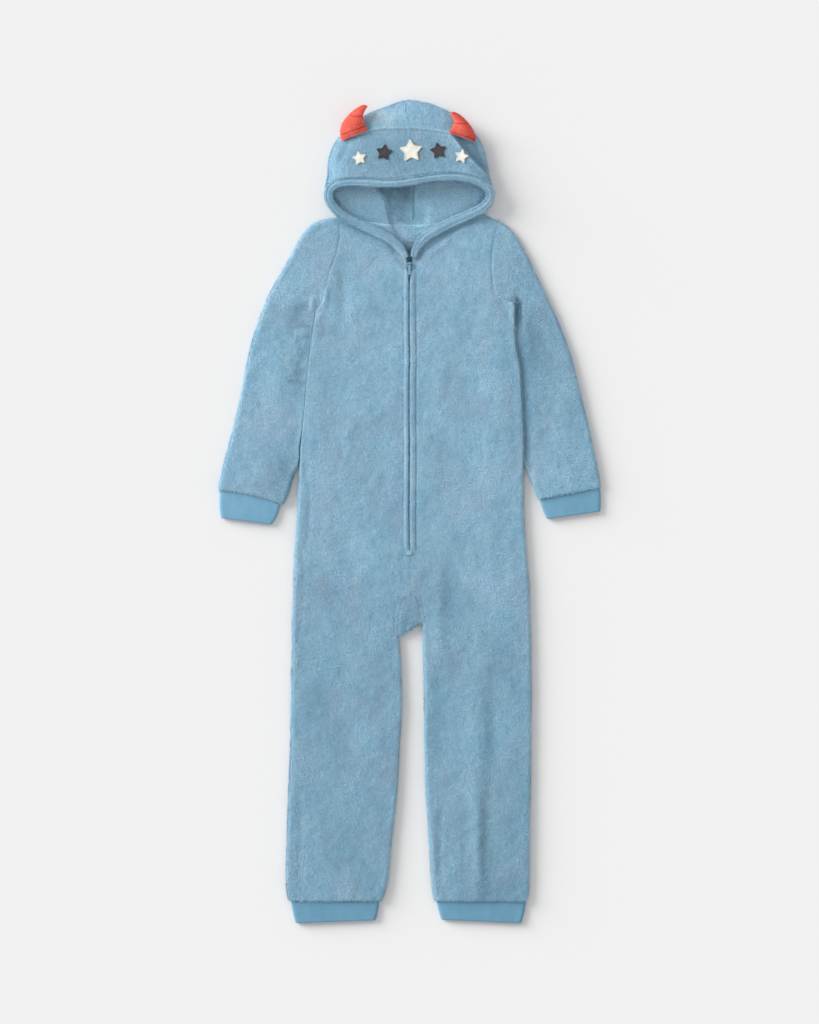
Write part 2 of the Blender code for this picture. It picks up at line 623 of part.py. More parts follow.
def add_cuff(name, table, material):
    made = through(table, np.array([0, 0.5, 1, 1.5, 2]))
    plan = rows_between(made[:, :2], made[:, 2:],
                        lambda w: across(w, [0, 0.6, 2.1, 4.2], [0, 0.6, 2.1, 4.2], 3))
    if name == "cuff_wrist_right":
        bow(plan, np.array([1, 0.75, 0.5, 0.25, 0]))
    longer = through(table, np.linspace(0, 2, 9))
    edges = [longer[:, :2], longer[:, 2:]]
    return add_tube(name, plan, edges, JERSEY, CUFF_Z, 3.4, 4.2, material,
                    lambda xy, d: 0.5 * smooth(d / 30))


def hood_side_z(xy):
    return np.interp(xy[:, 1], *zip(*HOOD_SIDE))


def hood_rise(xy):
    y = xy[:, 1]
    top = HOOD_TOP_OPENING + (HOOD_TOP_SEAM - HOOD_TOP_OPENING) * smooth((y - 484) / 75)
    top += (HOOD_TOP_END - HOOD_TOP_SEAM) * smooth((y - 552) / 45)
    return top - hood_side_z(xy)


def hood_lift(xy, d):
    """The dip along the seams of the hood's upper layer."""
    up = -0.9 * np.exp(-((distance(xy, fine(BROW_SEAM)) / 2.6) ** 2))
    up -= 0.7 * np.exp(-((xy[:, 0] + 4.0) / 2.4) ** 2) * smooth((xy[:, 1] - 552) / 4)
    return up * smooth(d / 9)


def inner_fold(xy):
    """What the fold of the hood's right side adds inside the face opening."""
    line = fine(INNER_FOLD)
    edge = np.interp(xy[:, 1], line[::-1, 1], line[::-1, 0])
    inside = smooth((distance(xy, OUTLINE) - 9) / 8)
    return 3.6 * inside * smooth((edge - xy[:, 0]) / 4) * smooth((515 - xy[:, 1]) / 30)


def hood_upper(plan):
    return layer(plan, [OUTLINE], 1, PLUSH, hood_side_z, hood_rise, HOOD_ROLL_FRONT, hood_lift)


def add_hood(side, material):
    """Half of the hood: its back, and past the fold at the top its crown as far as the brow seam."""
    right = side == "right"
    if right:
        columns = np.array([0, 1, 2, 2.7, *BAND_RIGHT[::-1], *CROWN_RIGHT])
        over = columns >= SEAM_END_RIGHT
        centre, end = -1, 0
    else:
        columns = np.array([*CROWN_LEFT, *BAND_LEFT, 27.4, 28.2, 29, 30])
        over = columns <= SEAM_END_LEFT
        centre, end = 0, -1
    edge = through(HOOD_OUTLINE, columns)
    neck = through(HOOD_NECK, np.interp(columns, [0, 7.85, 15, 22.6, 30], [0, 2.4, 5, 7.6, 10]))
    length = np.sqrt(((edge - neck) ** 2).sum(1))[:, None]
    plan = [neck + (edge - neck) * t * (length - HOOD_ROLL_BACK) / length for t in (0, 0.35, 0.7, 1)]
    plan += [edge + (neck - edge) * short / length for short in (7.5, 4.0, 1.6, 0.4, 0)]
    plan = np.array(plan)
    plan[:, centre, 0] += -0.2 if right else 0.2
    back = layer(plan, [OUTLINE], -1, PLUSH, hood_side_z, hood_side_z, HOOD_ROLL_BACK, None,
                 inner_fold if right else None)
    cloth = Cloth()
    cloth.grid(back)
    brow = through(BROW_SEAM, brow_station(columns[over]))
    brow[:, 1] += SEAM / 2 + 0.05
    start = plan[-1][over]
    brow[centre, 0] = start[centre, 0]
    brow[end] = start[end]
    crown = np.array([start + (brow - start) * t for t in (0, 0.012, 0.05, 0.12, 0.25, 0.5, 1)])
    cloth.grid(hood_upper(crown))
    return cloth.make(f"hood_{side}", material)


def brow_station(columns):
    """Row numbers of the brow seam where stations of the hood's outline meet it."""
    return np.interp(columns, [SEAM_END_RIGHT, 15, SEAM_END_LEFT], [0, 5, 10])


def hem_side(at, out):
    """Points beside the hem's middle line, out further than half its width."""
    here, ahead, behind = (through(HEM, at + k) for k in (0, 0.05, -0.05))
    heading = ahead[:, :2] - behind[:, :2]
    heading /= np.sqrt((heading**2).sum(1))[:, None]
    normal = np.column_stack([-heading[:, 1], heading[:, 0]])
    return here[:, :2] + normal * (here[:, 3:4] / 2 + out)


def along(line, shares):
    """Points at shares of a line's length."""
    length = np.concatenate([[0], np.cumsum(np.sqrt((np.diff(line, axis=0) ** 2).sum(1)))])
    return np.column_stack([np.interp(shares * length[-1], length, line[:, k]) for k in (0, 1)])


def add_brow(material):
    """The hood's front band, from the brow seam to the hem of the face opening."""
    stations = brow_station(np.array([SEAM_END_RIGHT, *CROWN_RIGHT, *CROWN_LEFT[1:], SEAM_END_LEFT]))
    top = through(BROW_SEAM, stations)
    share = np.concatenate([[0], np.cumsum(np.sqrt((np.diff(top, axis=0) ** 2).sum(1)))])
    share /= share[-1]
    top[1:-1, 1] -= SEAM / 2 + 0.15
    right = through(HOOD_OUTLINE, [BAND_RIGHT[0] - 0.05, *BAND_RIGHT[1:]])
    left = through(HOOD_OUTLINE, [BAND_LEFT[0] + 0.05, *BAND_LEFT[1:]])
    top[0], top[-1] = right[0], left[0]
    low = hem_side(np.linspace(8.4, 18.6, 41), 1.5)
    low = along(np.concatenate([right[-1:], low, left[-1:]]), share)
    u, v = share[None, :, None], np.linspace(0, 1, len(BAND_RIGHT))[:, None, None]
    plan = (1 - v) * top[None] + v * low[None] + (1 - u) * right[:, None] + u * left[:, None]
    plan -= (1 - v) * ((1 - u) * top[0] + u * top[-1]) + v * ((1 - u) * low[0] + u * low[-1])
    outer, inner = hood_upper(plan)
    outer[..., 2] += SEAM * 1.4
    inner[..., 2] += SEAM * 1.4
    cloth = Cloth()
    cloth.grid((outer, inner))
    return cloth.make("hood_brow", material)


def ring_faces(count, ring):
    """Faces of a closed tube through rings of points, with its two ends."""
    faces = []
    for i in range(count - 1):
        for k in range(ring):
            n = (k + 1) % ring
            faces.append((i * ring + k, i * ring + n, (i + 1) * ring + n, (i + 1) * ring + k))
    return faces + [tuple(range(ring)), tuple((count - 1) * ring + k for k in range(ring))]


def add_hem(material):
    """The hem: one flattened fold of cloth swept round the face opening."""
    at = np.linspace(0, len(HEM) - 1, 46)
    here, ahead, behind = (through(HEM, np.clip(at + k, 0, len(HEM) - 1)) for k in (0, 0.05, -0.05))
    rings, ring = [], 10
    for p, a, b in zip(here, ahead, behind):
        heading = (a - b)[:3]
        heading /= np.linalg.norm(heading)
        out = np.cross((0, 0, 1), heading)
        out /= np.linalg.norm(out)
        up = np.cross(heading, out)
        for k in range(ring):
            angle = 2 * math.pi * k / ring
            c, s = math.cos(angle), math.sin(angle)
            c, s = math.copysign(abs(c) ** 0.8, c), math.copysign(abs(s) ** 0.8, s)
            rings.append(p[:3] + out * c * p[3] / 2 + up * s * p[4] / 2)
    return add_mesh("hood_hem", np.array(rings) * MM, ring_faces(len(here), ring), material)


def upper_z(points):
    """Height of the hood's upper layer at plan points."""
    return hood_upper(np.array(points, float)[None])[0][0, :, 2]


def add_horn(side, table, material):
    """A stuffed horn: rings from the brow seam to its tip, lying on the crown."""
    rows = through(table, np.array([0, 0.5, 1, 1.7, 2.4, 3.2, 4, 4.8, 5.5, 6]))
    ring, points = 12, []
    for outer_x, outer_y, inner_x, inner_y, half in rows:
        a, b = np.array((outer_x, outer_y)), np.array((inner_x, inner_y))
        for k in range(ring):
            angle = 2 * math.pi * k / ring
            share = 0.5 - 0.5 * math.cos(angle)
            spot = a + (b - a) * share
            level = HORN_LIFT[0] + (HORN_LIFT[1] - HORN_LIFT[0]) * share
            tall = math.sin(angle) * half * (1.25 if math.sin(angle) > 0 else 0.75)
            floor = upper_z([spot])[0] + 0.45
            points.append((*spot, max(level + tall, floor + (0.0 if tall < 0 else 1.0 + tall))))
    return add_mesh(f"horn_{side}", np.array(points) * MM, ring_faces(len(rows), ring), material)


def add_star(number, x, y, radius, turn, material):
    """A flat five-pointed applique lying on the brow band."""
    tips = []
    for k in range(20):
        angle = math.radians(90 + turn + 18 * k)
        tips.append((math.cos(angle), math.sin(angle)))
    reach = np.array([1.0, 0.74, 0.52, 0.74] * 5) * radius
    edge = np.array(tips) * reach[:, None]
    spots = np.concatenate([[(0.0, 0.0)], edge * 0.5, edge]) + (x, y)
    low = upper_z(spots) + SEAM * 1.4 + 0.35
    count = len(spots)
    faces = []
    for k in range(20):
        n = (k + 1) % 20
        faces += [(0, 1 + k, 1 + n), (1 + k, 21 + k, 21 + n, 1 + n)]
    under = [tuple(v + count for v in reversed(f)) for f in faces]
    walls = [(21 + (k + 1) % 20, 21 + k, 21 + k + count, 21 + (k + 1) % 20 + count) for k in range(20)]
    points = np.concatenate([np.column_stack([spots, low + STAR_THICK]), np.column_stack([spots, low])])
    return add_mesh(f"star_{number}", points * MM, faces + under + walls, material)


def add_box(name, low, high, material, bevel=0.0):
    low, high = np.array(low, float), np.array(high, float)
    form = bmesh.new()
    bmesh.ops.create_cube(form, size=1.0)
    for v in form.verts:
        v.co = [(low[k] + (high[k] - low[k]) * (v.co[k] + 0.5)) * MM for k in range(3)]
    if bevel:
        bmesh.ops.bevel(form, geom=form.edges[:], offset=bevel * MM, segments=2, affect="EDGES")
    mesh = bpy.data.meshes.new(name)
    form.to_mesh(mesh)
    form.free()
    mesh.materials.append(material)
    made = bpy.data.objects.new(name, mesh)
    bpy.data.collections["Onesie pajama"].objects.link(made)
    return made


def add_cylinder(name, centre, radius, length, material, sides=20):
    """A cylinder along X."""
    form = bmesh.new()
    bmesh.ops.create_cone(form, cap_ends=True, segments=sides, radius1=radius * MM, radius2=radius * MM,
                          depth=length * MM)
    for v in form.verts:
        x, y, z = v.co
        v.co = (z + centre[0] * MM, y + centre[1] * MM, -x + centre[2] * MM)
    mesh = bpy.data.meshes.new(name)
    form.to_mesh(mesh)
    form.free()
    mesh.materials.append(material)
    made = bpy.data.objects.new(name, mesh)
    bpy.data.collections["Onesie pajama"].objects.link(made)
    return made


def combine(target, others, operation):
    """Joins other solids to the target, or cuts them from it."""
    tools = bpy.data.collections["Construction"]
    for other in others:
        bpy.data.collections["Onesie pajama"].objects.unlink(other)
        tools.objects.link(other)
        other.hide_render = True
        other.display_type = "WIRE"
        step = target.modifiers.new(other.name, "BOOLEAN")
        step.operation = operation
        step.solver = "EXACT"
        step.object = other


def add_zip(tape, enamel):
    """The zip under the front's folded edges: both tapes, and the slider with its pull."""
    for side, toward in (("right", -1), ("left", 1)):
        ys = np.array([ZIP_TOP, 343.0, 333.0, 318.0, 150.0, 20.0, -40.0, ZIP_END])
        level = np.interp(ys, *zip(*ZIP_TAPE_TOP[::-1]))
        near = middle_line(ys) + toward * 0.35
        far = near + toward * ZIP_TAPE
        top = np.stack([np.column_stack([x, ys, level]) for x in (near, far)], 1)
        low = top - (0, 0, ZIP_TAPE_THICK)
        cloth = Cloth()
        cloth.grid((top, low))
        cloth.make(f"zip_tape_{side}", tape)
    x, y, z = BAR
    slider = add_box("zip_slider", (x - 3.1, y - 6.0, 6.25), (x + 3.1, y + 2.6, 8.9), enamel, 0.5)
    cheeks = [add_box(f"cheek_{k}", (x + m - 0.45, y - 1.8, 8.0), (x + m + 0.45, y + 1.6, z + 1.1), enamel)
              for k, m in enumerate((-2.1, 2.1))]
    bar = add_cylinder("crossbar", BAR, BAR_RADIUS, 4.6, enamel)
    combine(slider, cheeks + [bar], "UNION")
    pull = add_box("zip_pull", (x - PULL_WIDTH / 2, y - 2.4 - PULL_LENGTH + 2.0, z - PULL_THICK / 2),
                   (x + PULL_WIDTH / 2, y - 2.3, z + PULL_THICK / 2), enamel, 0.25)
    neck = add_box("pull_neck", (x - 1.15, y - 3.4, z - PULL_THICK / 2),
                   (x + 1.15, y - 0.6, z + PULL_THICK / 2), enamel)
    eye = add_cylinder("pull_eye", BAR, BAR_RADIUS + 1.15, 2.3, enamel, 24)
    hole = add_cylinder("pull_hole", BAR, BAR_RADIUS + 0.4, 4.0, enamel, 24)
    combine(pull, [neck, eye], "UNION")
    combine(pull, [hole], "DIFFERENCE")
    pivot = bpy.data.objects.new("zip_pull_hinge", None)
    pivot.location = [c * MM for c in BAR]
    bpy.data.collections["Onesie pajama"].objects.link(pivot)
    pull.parent = pivot
    pull.matrix_parent_inverse = pivot.matrix_basis.inverted()


def main():
    for made in list(bpy.data.objects):
        bpy.data.objects.remove(made)
    for name in ("Onesie pajama", "Construction"):
        group = bpy.data.collections.new(name)
        bpy.context.scene.collection.children.link(group)
    material = {name: add_material(name) for name in COLOURS}
    add_back(material["plush"])
    for side in ("right", "left"):
        add_front(side, material["plush"])
        add_sleeve(side, material["plush"])
        add_hood(side, material["plush"])
    add_gusset(material["plush"])
    add_cuff("cuff_wrist_right", CUFF_WRIST_RIGHT, material["jersey"])
    add_cuff("cuff_wrist_left", CUFF_WRIST_LEFT, material["jersey"])
    add_cuff("cuff_ankle_right", CUFF_ANKLE_RIGHT, material["jersey"])
    add_cuff("cuff_ankle_left", CUFF_ANKLE_LEFT, material["jersey"])
    add_brow(material["plush"])
    add_hem(material["plush"])
    add_horn("right", HORN_RIGHT, material["coral"])
    add_horn("left", HORN_LEFT, material["coral"])
    for number, (x, y, radius, turn, dark) in enumerate(STARS, 1):
        add_star(number, x, y, radius, turn, material["charcoal" if dark else "white"])
    add_zip(material["tape"], material["enamel"])


main()
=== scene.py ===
"""Looks of a child's hooded one-piece pajama in plush, laid flat with its front up.

X runs across, Y up the body and Z up from the surface. The tables are in millimetres and say
where the sewn edges lie; the meshes are made in metres.
"""

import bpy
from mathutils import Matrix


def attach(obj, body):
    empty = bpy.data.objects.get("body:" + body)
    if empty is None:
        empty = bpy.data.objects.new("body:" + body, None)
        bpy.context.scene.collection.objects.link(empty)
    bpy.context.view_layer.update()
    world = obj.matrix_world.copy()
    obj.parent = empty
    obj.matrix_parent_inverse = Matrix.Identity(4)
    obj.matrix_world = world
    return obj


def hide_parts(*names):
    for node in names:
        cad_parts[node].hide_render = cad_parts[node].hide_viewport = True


bl_info = {
    "name": "Hooded plush pajama",
    "version": (1, 0, 0),
    "blender": (4, 5, 0),
    "location": "3D View > Sidebar > Pajama",
    "description": "Dresses the packed one-piece pajama in plush, jersey, stitching and a zip",
    "category": "Object",
}

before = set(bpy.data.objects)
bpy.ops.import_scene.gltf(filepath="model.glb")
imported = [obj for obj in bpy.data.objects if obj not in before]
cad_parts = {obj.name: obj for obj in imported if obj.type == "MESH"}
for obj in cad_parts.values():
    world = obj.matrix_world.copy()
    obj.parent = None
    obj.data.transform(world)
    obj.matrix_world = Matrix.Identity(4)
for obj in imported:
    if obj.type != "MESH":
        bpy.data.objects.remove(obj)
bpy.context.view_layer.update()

import math

import bmesh
import bpy
import numpy as np
from bpy.props import FloatProperty, FloatVectorProperty, IntProperty, PointerProperty

MM = 0.001
BODY = "garment"

# What a piece is made of: its material and its slot
PLUSH_LOOK = ("polyester_plush_ground", "plush_blue")
PILE_LOOK = ("polyester_plush_pile", "plush_blue")
THREAD_LOOK = ("polyester_thread_spun", "plush_blue")
JERSEY_LOOK = ("cotton_jersey_knitted", "jersey_blue")
HORN_LOOK = ("coral_fleece_brushed", "fleece_coral")
HORN_PILE_LOOK = ("coral_fleece_pile", "fleece_coral")
HORN_THREAD_LOOK = ("red_polyester_thread_spun", "fleece_coral")
LIGHT_STAR_LOOK = ("white_fleece_brushed", "felt_white")
DARK_STAR_LOOK = ("charcoal_fleece_brushed", "felt_charcoal")
TAPE_LOOK = ("polyester_tape_woven", "zip_tape_blue")
COIL_LOOK = ("nylon_coil_moulded", "zip_tape_blue")

SHARP_EDGE = math.radians(50)  # edges that turn further stay sharp
# Floor and camera, in metres
FLOOR_REACH = 4.0
FLOOR_DROP = 0.0004  # how far the floor lies under the garment
CAMERA_OFF = -0.0007  # from the middle, on both axes

# Cloth
PLUSH = 3.8  # wall of the double-sided plush, with its pile
JERSEY = 2.2  # wall of the doubled jersey of the cuffs
SEAM = 0.3  # room between two pieces at a seam
SIDE_Z = 5.2  # height of the side seams and folds over the surface
ROLL = 5.5  # how far in from a side the cloth curves over
RISE = 5.0  # how much the front rises over that curve
CROWN = 1.2  # how much the front swells towards its middle
CUFF_Z = 3.8  # height of a cuff's folds over the surface

# Hood
HOOD_ROLL_BACK = 12.0
HOOD_ROLL_FRONT = 30.0
HOOD_TOP_OPENING = 30.0  # height of the hood's front layer at the face opening
HOOD_TOP_SEAM = 22.0  # and at the brow seam
HOOD_TOP_END = 19.0  # and near its top edge

# Zip
ZIP_END = -58.0
ZIP_TAPE = 12.0
ZIP_REACH = (352.0, ZIP_END)
# height of the tapes' upper face. y, z
ZIP_TAPE_TOP = [(352.0, 4.6), (343.0, 4.9), (333.0, 5.8), (318.0, 6.1), (-58.0, 6.1)]
ZIP_TAPE_THICK = 0.5
ZIP_STITCHES = (-7.8, 9.9)  # from the zip's middle to the rows of stitches beside it
ZIP_TACK = (-5.6, 3.6)  # and to the ends of the tack that closes it
TOWARD = {"right": -1, "left": 1}  # which way each side of the garment lies

# Front and back panels, row by row from the neck to the ankle: the edge at the middle of the
# body (zip, centre seam, gusset, inside leg) and the edge at the side (armhole, side seam).
# middle x, middle y, side x, side y
PANEL_RIGHT = [
    (-1.6, 361.8, -100, 427.8),
    (-1.6, 347.3, -101.5, 411.1),
    (-1.6, 329.9, -102.5, 393.7),
    (-1.6, 309.6, -108.8, 367.6),
    (-1.6, 289.3, -116, 350.2),
    (-1.6, 271.9, -121.8, 328.4),
    (-1.6, 257.4, -127.6, 304.3),
    (-1.6, 244.3, -137, 289.3),
    (-1.6, 229.8, -140.7, 274.8),
    (-1.6, 208.1, -145.7, 241.4),
    (-1.6, 182, -149.9, 205.2),
    (-1.6, 138.5, -154.4, 154.4),
    (-1.6, 89.2, -159.5, 95),
    (-1.6, 38.4, -162.7, 41.3),
    (-1.6, -12.3, -165.3, -12.3),
    (-0.3, -64.5, -168.8, -64.5),
    (0.3, -106.6, -170.2, -106.6),
    (1, -119.6, -170.8, -124),
    (-7.6, -123.4, -171.1, -134.1),
    (-13.6, -133.8, -171.7, -145.7),
    (-17, -152, -172.3, -160.2),
    (-16, -181.5, -172.5, -182.5),
    (-13.4, -200.8, -172.3, -200.8),
    (-10.6, -273.3, -174, -273.3),
    (-14, -338.6, -174.4, -338.6),
    (-18, -411.1, -177.6, -411.1),
    (-25.4, -476.3, -179.8, -476.3),
    (-31, -534.3, -181, -534.3),
    (-39, -564, -177.6, -564),
]
PANEL_LEFT = [
    (-0.4, 361.8, 127.4, 421),
    (-0.4, 347.3, 124, 405.2),
    (-0.4, 329.9, 119.8, 387.9),
    (-0.4, 309.6, 118, 364.7),
    (-0.4, 289.3, 118.9, 340),
    (-0.4, 271.9, 122.5, 318.8),
    (-0.4, 257.4, 133, 308),
    (-0.4, 244.3, 150.7, 301),
    (-0.4, 229.8, 150.4, 280.6),
    (-0.4, 208.1, 151.8, 247),
    (-0.4, 182, 158, 211),
    (-0.4, 138.5, 160.9, 161.7),
    (-0.4, 89.2, 163.8, 103.7),
    (-0.4, 38.4, 165.9, 45.7),
    (-0.4, -12.3, 166.8, -9.4),
    (0.6, -64.5, 170.5, -64.5),
    (1.2, -106.6, 174, -106.6),
    (2.2, -119.6, 174.6, -124),
    (9.2, -123, 174.9, -134.1),
    (13.4, -132.4, 175.2, -145.7),
    (15.4, -147.2, 175.4, -155.9),
    (16.4, -161.5, 175.7, -168.8),
    (17.4, -197.9, 176.6, -197.9),
    (19.2, -273.3, 176.9, -273.3),
    (19.6, -338.6, 176.3, -338.6),
    (21.8, -411.1, 175.7, -411.1),
    (26.1, -476.3, 174.3, -476.3),
    (29.3, -534.3, 174, -534.3),
    (33.4, -564, 171.7, -564.8),
]
PANELS = {"right": PANEL_RIGHT, "left": PANEL_LEFT}
FRINGE = 1.5  # how far the pile reaches past a fold, so the cloth's folds lie that much further in
ARMHOLE_END = 7  # the panels' row at the underarm
ARCH_TOP = 17  # the row where the gusset's arch starts
CROTCH = 21  # the row where the inside leg starts
GUSSET_ROWS = (17.35, 20.8)  # the rows where the gusset itself starts and ends in front
GUSSET_COLUMNS = 17
# The gusset's fold between the legs. x, y
GUSSET_FOLD = [(-14.5, -181.5), (-8.2, -177.2), (0, -171.8), (8.2, -166), (14.9, -161.5)]
# middle y of the back's rows, from the neck seam to where they run level with the front's
BACK_MIDDLE = [416.1, 401, 384, 366, 347, 328, 308, 290, 270, 240, 204, 150, 94.5, 40]

# The panels' top edges, under the hood's hem. x, y
NECK_FRONT_RIGHT = [(-1.6, 361.8), (-14.5, 377), (-31.9, 390.8), (-58, 405.3), (-84.1, 419.1),
                    (-100, 427.8)]
NECK_FRONT_LEFT = [(-0.4, 361.8), (8.7, 379.9), (24.6, 395.8), (47.9, 410.3), (79.8, 427),
                   (93, 430.6), (104.9, 431.3), (116.3, 426.2), (127.4, 421)]
NECK_BACK_RIGHT = [(0, 416.1), (-18.8, 416.6), (-36.2, 417.6), (-65.2, 421.3), (-84.1, 424.3),
                   (-100, 427.8)]
NECK_BACK_LEFT = [(0, 416.1), (23.2, 417), (43.5, 419.6), (72.5, 424.6), (93, 430.6),
                  (104.9, 431.3), (116.3, 426.2), (127.4, 421)]
NECKS = {"right": (NECK_FRONT_RIGHT, NECK_BACK_RIGHT), "left": (NECK_FRONT_LEFT, NECK_BACK_LEFT)}

# Sleeves, row by row from the shoulder to the hem: the fold over the arm and the fold under it.
# The first rows end at the armhole, at the panels' rows of the same number.
# over x, over y, under x, under y
SLEEVE_RIGHT = [
    (-124, 423.4, -100.3, 427.8),
    (-143.5, 415.4, -101.8, 411.1),
    (-158, 399.5, -102.8, 393.7),
    (-171.5, 376, -109.1, 367.6),
    (-182, 356, -116.3, 350.2),
    (-191.5, 340, -122.1, 328.4),
    (-202, 321, -127.9, 304.3),
    (-211, 301.5, -137.5, 289.3),
    (-217, 286, -141.4, 274),
    (-222.5, 271, -143.9, 258),
    (-229.5, 248.5, -147.7, 231.5),
    (-236.5, 220, -150.5, 205.2),
    (-243.5, 184, -153.6, 172),
    (-248.5, 158.5, -155.7, 147),
    (-254, 136, -158.2, 120),
    (-259, 114, -160.7, 95),
    (-265, 92.5, -161.9, 73),
    (-270.5, 72, -168.2, 50),
    (-275.5, 52, -174.4, 27),
    (-279.9, 31.2, -182.7, 9.4),
]
SLEEVE_LEFT = [
    (139.6, 414.7, 127.8, 421.1),
    (148.5, 406.2, 124.3, 405.3),
    (158.2, 393.2, 120.1, 387.9),
    (171, 370.2, 118.3, 364.7),
    (183, 344, 119.2, 340),
    (195.5, 319, 122.8, 318.8),
    (200, 309.5, 133.3, 308),
    (205, 299, 151.3, 301.5),
    (210.5, 287, 150.9, 287),
    (216, 274, 150.9, 272),
    (224, 254, 152, 250),
    (231.5, 234, 155.4, 229),
    (238, 213, 159.2, 205.5),
    (244, 189, 161, 178),
    (250, 163, 162.1, 150),
    (256, 140, 163.6, 122),
    (261, 118, 163.8, 98),
    (266, 95, 165.2, 78),
    (272, 68, 173, 49),
    (277.8, 35.5, 184.3, 17.4),
]
SLEEVES = {"right": SLEEVE_RIGHT, "left": SLEEVE_LEFT}

# Cuffs, from the hem they join to their own end. one side x, y, other side x, y
CUFFS = {
    "cuff_wrist_right": [(-275.8, 30, -187.8, 9.65), (-275.9, 8, -192.8, -6.5),
                         (-274.1, -9.4, -200.1, -18.8)],
    "cuff_wrist_left": [(275.6, 34.4, 188.2, 17.3), (276.6, 16, 193.2, 2), (275.9, 0.1, 198.7, -10.9)],
    "cuff_ankle_right": [(-172.6, -564.6, -44.4, -564.8), (-169.6, -580.5, -46.4, -579.5),
                         (-165.7, -596.7, -49.7, -592.3)],
    "cuff_ankle_left": [(38.4, -564.9, 168.4, -565.6), (41.8, -578.5, 165.6, -581),
                        (45.5, -591.5, 161.5, -596.7)],
}

# The hood's outline from the right end of the neck over the top to the left end. x, y
HOOD_OUTLINE = [
    (-114.5, 440.8), (-121.1, 448.8), (-124.3, 458.9), (-122.5, 472), (-119.9, 486.5),
    (-119.3, 501), (-117.2, 514.5), (-112, 528.5), (-104.4, 540.4), (-95.4, 550.8),
    (-85.4, 560.6), (-73.8, 569.2), (-60.4, 576.8), (-44.2, 583.4), (-26, 590),
    (-5.6, 596.2), (12.6, 594.8), (33.4, 590.1), (52.2, 582.2), (68.1, 572),
    (81.2, 561.1), (91.3, 551.7), (100, 540.1), (105.8, 528.5), (109.5, 515.5),
    (112.4, 501), (115.3, 486.5), (118.9, 472), (122.8, 458.9), (119.6, 448.8),
    (113.8, 441.5),
]
HOOD_NECK = [
    (-100, 429.4), (-84.1, 425.4), (-65.2, 422.3), (-36.2, 418.6), (-18.8, 417.5),
    (2, 417), (23.2, 417.9), (43.5, 420.5), (72.5, 425.6), (89.9, 430), (103, 434.4),
]
BROW_SEAM = [
    (-105.6, 538.7), (-98.4, 540.8), (-84.1, 545), (-62.4, 552), (-36.2, 555.2),
    (1.6, 555.6), (24.8, 554.2), (55.1, 549.4), (75.4, 543), (95, 535.8), (103.6, 533),
]
# A fold of the brow, from the horn down to the side, that the cloth falls off beyond. x, y
BROW_RIDGE = [(55.5, 549), (76, 523.2), (93, 504.5), (115.2, 484.1)]
# Creases of the brow, from one end to the other: x, y, x, y, half width, height
BROW_FOLDS = [
    (-112, 522, -60, 498, 7, -0.9),
    (-20, 500, 60, 506, 8, 0.7),
    (-92, 545, -114, 498, 4, 1.2),
    (-84, 540, -106, 498, 5, -1),
]
# The hood's outline stations where the brow seam meets it
SEAM_END_RIGHT = 7.85
SEAM_END_LEFT = 22.6
HOOD_TOP = 15  # the station at the top of the crown
HOOD_LAST = 30  # and the last one
HEM_BEND = 4.5  # how far the right sleeve's hem bows up in its middle
# Stations along the outline from the brow seam to where the brow band meets the hem
BAND_RIGHT = [7.85, 7.4, 6.4, 5.4, 4.5, 3.8, 3.3]
BAND_LEFT = [22.6, 23.05, 24.0, 24.9, 25.7, 26.3, 26.7]
# height of the hood's side over the surface. y, z
HOOD_SIDE = [(430, 10), (441, 11), (448, 12.2), (456, 13.4), (467, 14.6), (477, 12.5),
             (486, 9.4), (500, 9), (600, 9)]

# The folded hem round the face opening, from the zip's top round to it again.
# x, y, z of its middle, width, thickness
HEM = [
    (-5.6, 367.6, 12.6, 6.5, 5.6),
    (-11.6, 378.4, 12.7, 10.5, 6.4),
    (-25.4, 392.9, 12.8, 13.6, 6.6),
    (-46.4, 404.6, 13, 14.2, 6.8),
    (-72.5, 416.1, 13.6, 14, 7),
    (-95.7, 427.8, 15, 13.4, 7),
    (-110.6, 441.2, 17, 12.8, 7),
    (-117.4, 455.3, 19.2, 12.4, 7),
    (-115, 467.4, 21.4, 12.2, 7),
    (-105, 474.2, 23.4, 12.2, 7.2),
    (-89.9, 477, 25.2, 12.2, 7.4),
    (-63.8, 477.1, 26.5, 12.2, 7.4),
    (-37.7, 475.6, 27.1, 12.2, 7.4),
    (-11.6, 476.8, 27.4, 12.2, 7.4),
    (11.6, 480.3, 27.4, 12.2, 7.4),
    (36.2, 484, 27.1, 12.2, 7.4),
    (60.9, 485.3, 26.5, 12.2, 7.4),
    (84.1, 482.4, 25.2, 12.2, 7.4),
    (101.5, 476, 23.4, 12.2, 7.2),
    (113, 466.9, 21.4, 12.2, 7),
    (115.9, 455.3, 19.2, 12.4, 7),
    (107.6, 442, 17, 12.8, 7),
    (87, 430.8, 15, 13.4, 7),
    (60.9, 419.5, 13.6, 14, 7),
    (34.8, 405.6, 13, 14.2, 6.8),
    (18.8, 394.6, 12.8, 12.6, 6.6),
    (8.9, 381.3, 12.7, 10, 6.4),
    (4.2, 368.6, 12.6, 6.5, 5.6),
]
# Edges of the folds that the hood's sides make inside the face opening, over its back and the neck.
# x, y
INNER_FOLD = {
    "right": [(-52, 500), (-47.3, 468), (-37.3, 453), (-31.5, 436), (-27.3, 419.8),
              (-15.6, 394.8), (-2.3, 373.1)],
    "left": [(34, 500), (28, 470), (23.5, 450), (19.5, 425), (13.5, 396), (1.2, 373.1)],
}
FOLD_HEIGHT = {"right": (3.6, 4.0), "left": (2.6, 11.0)}  # how high it stands, and how soft its edge is

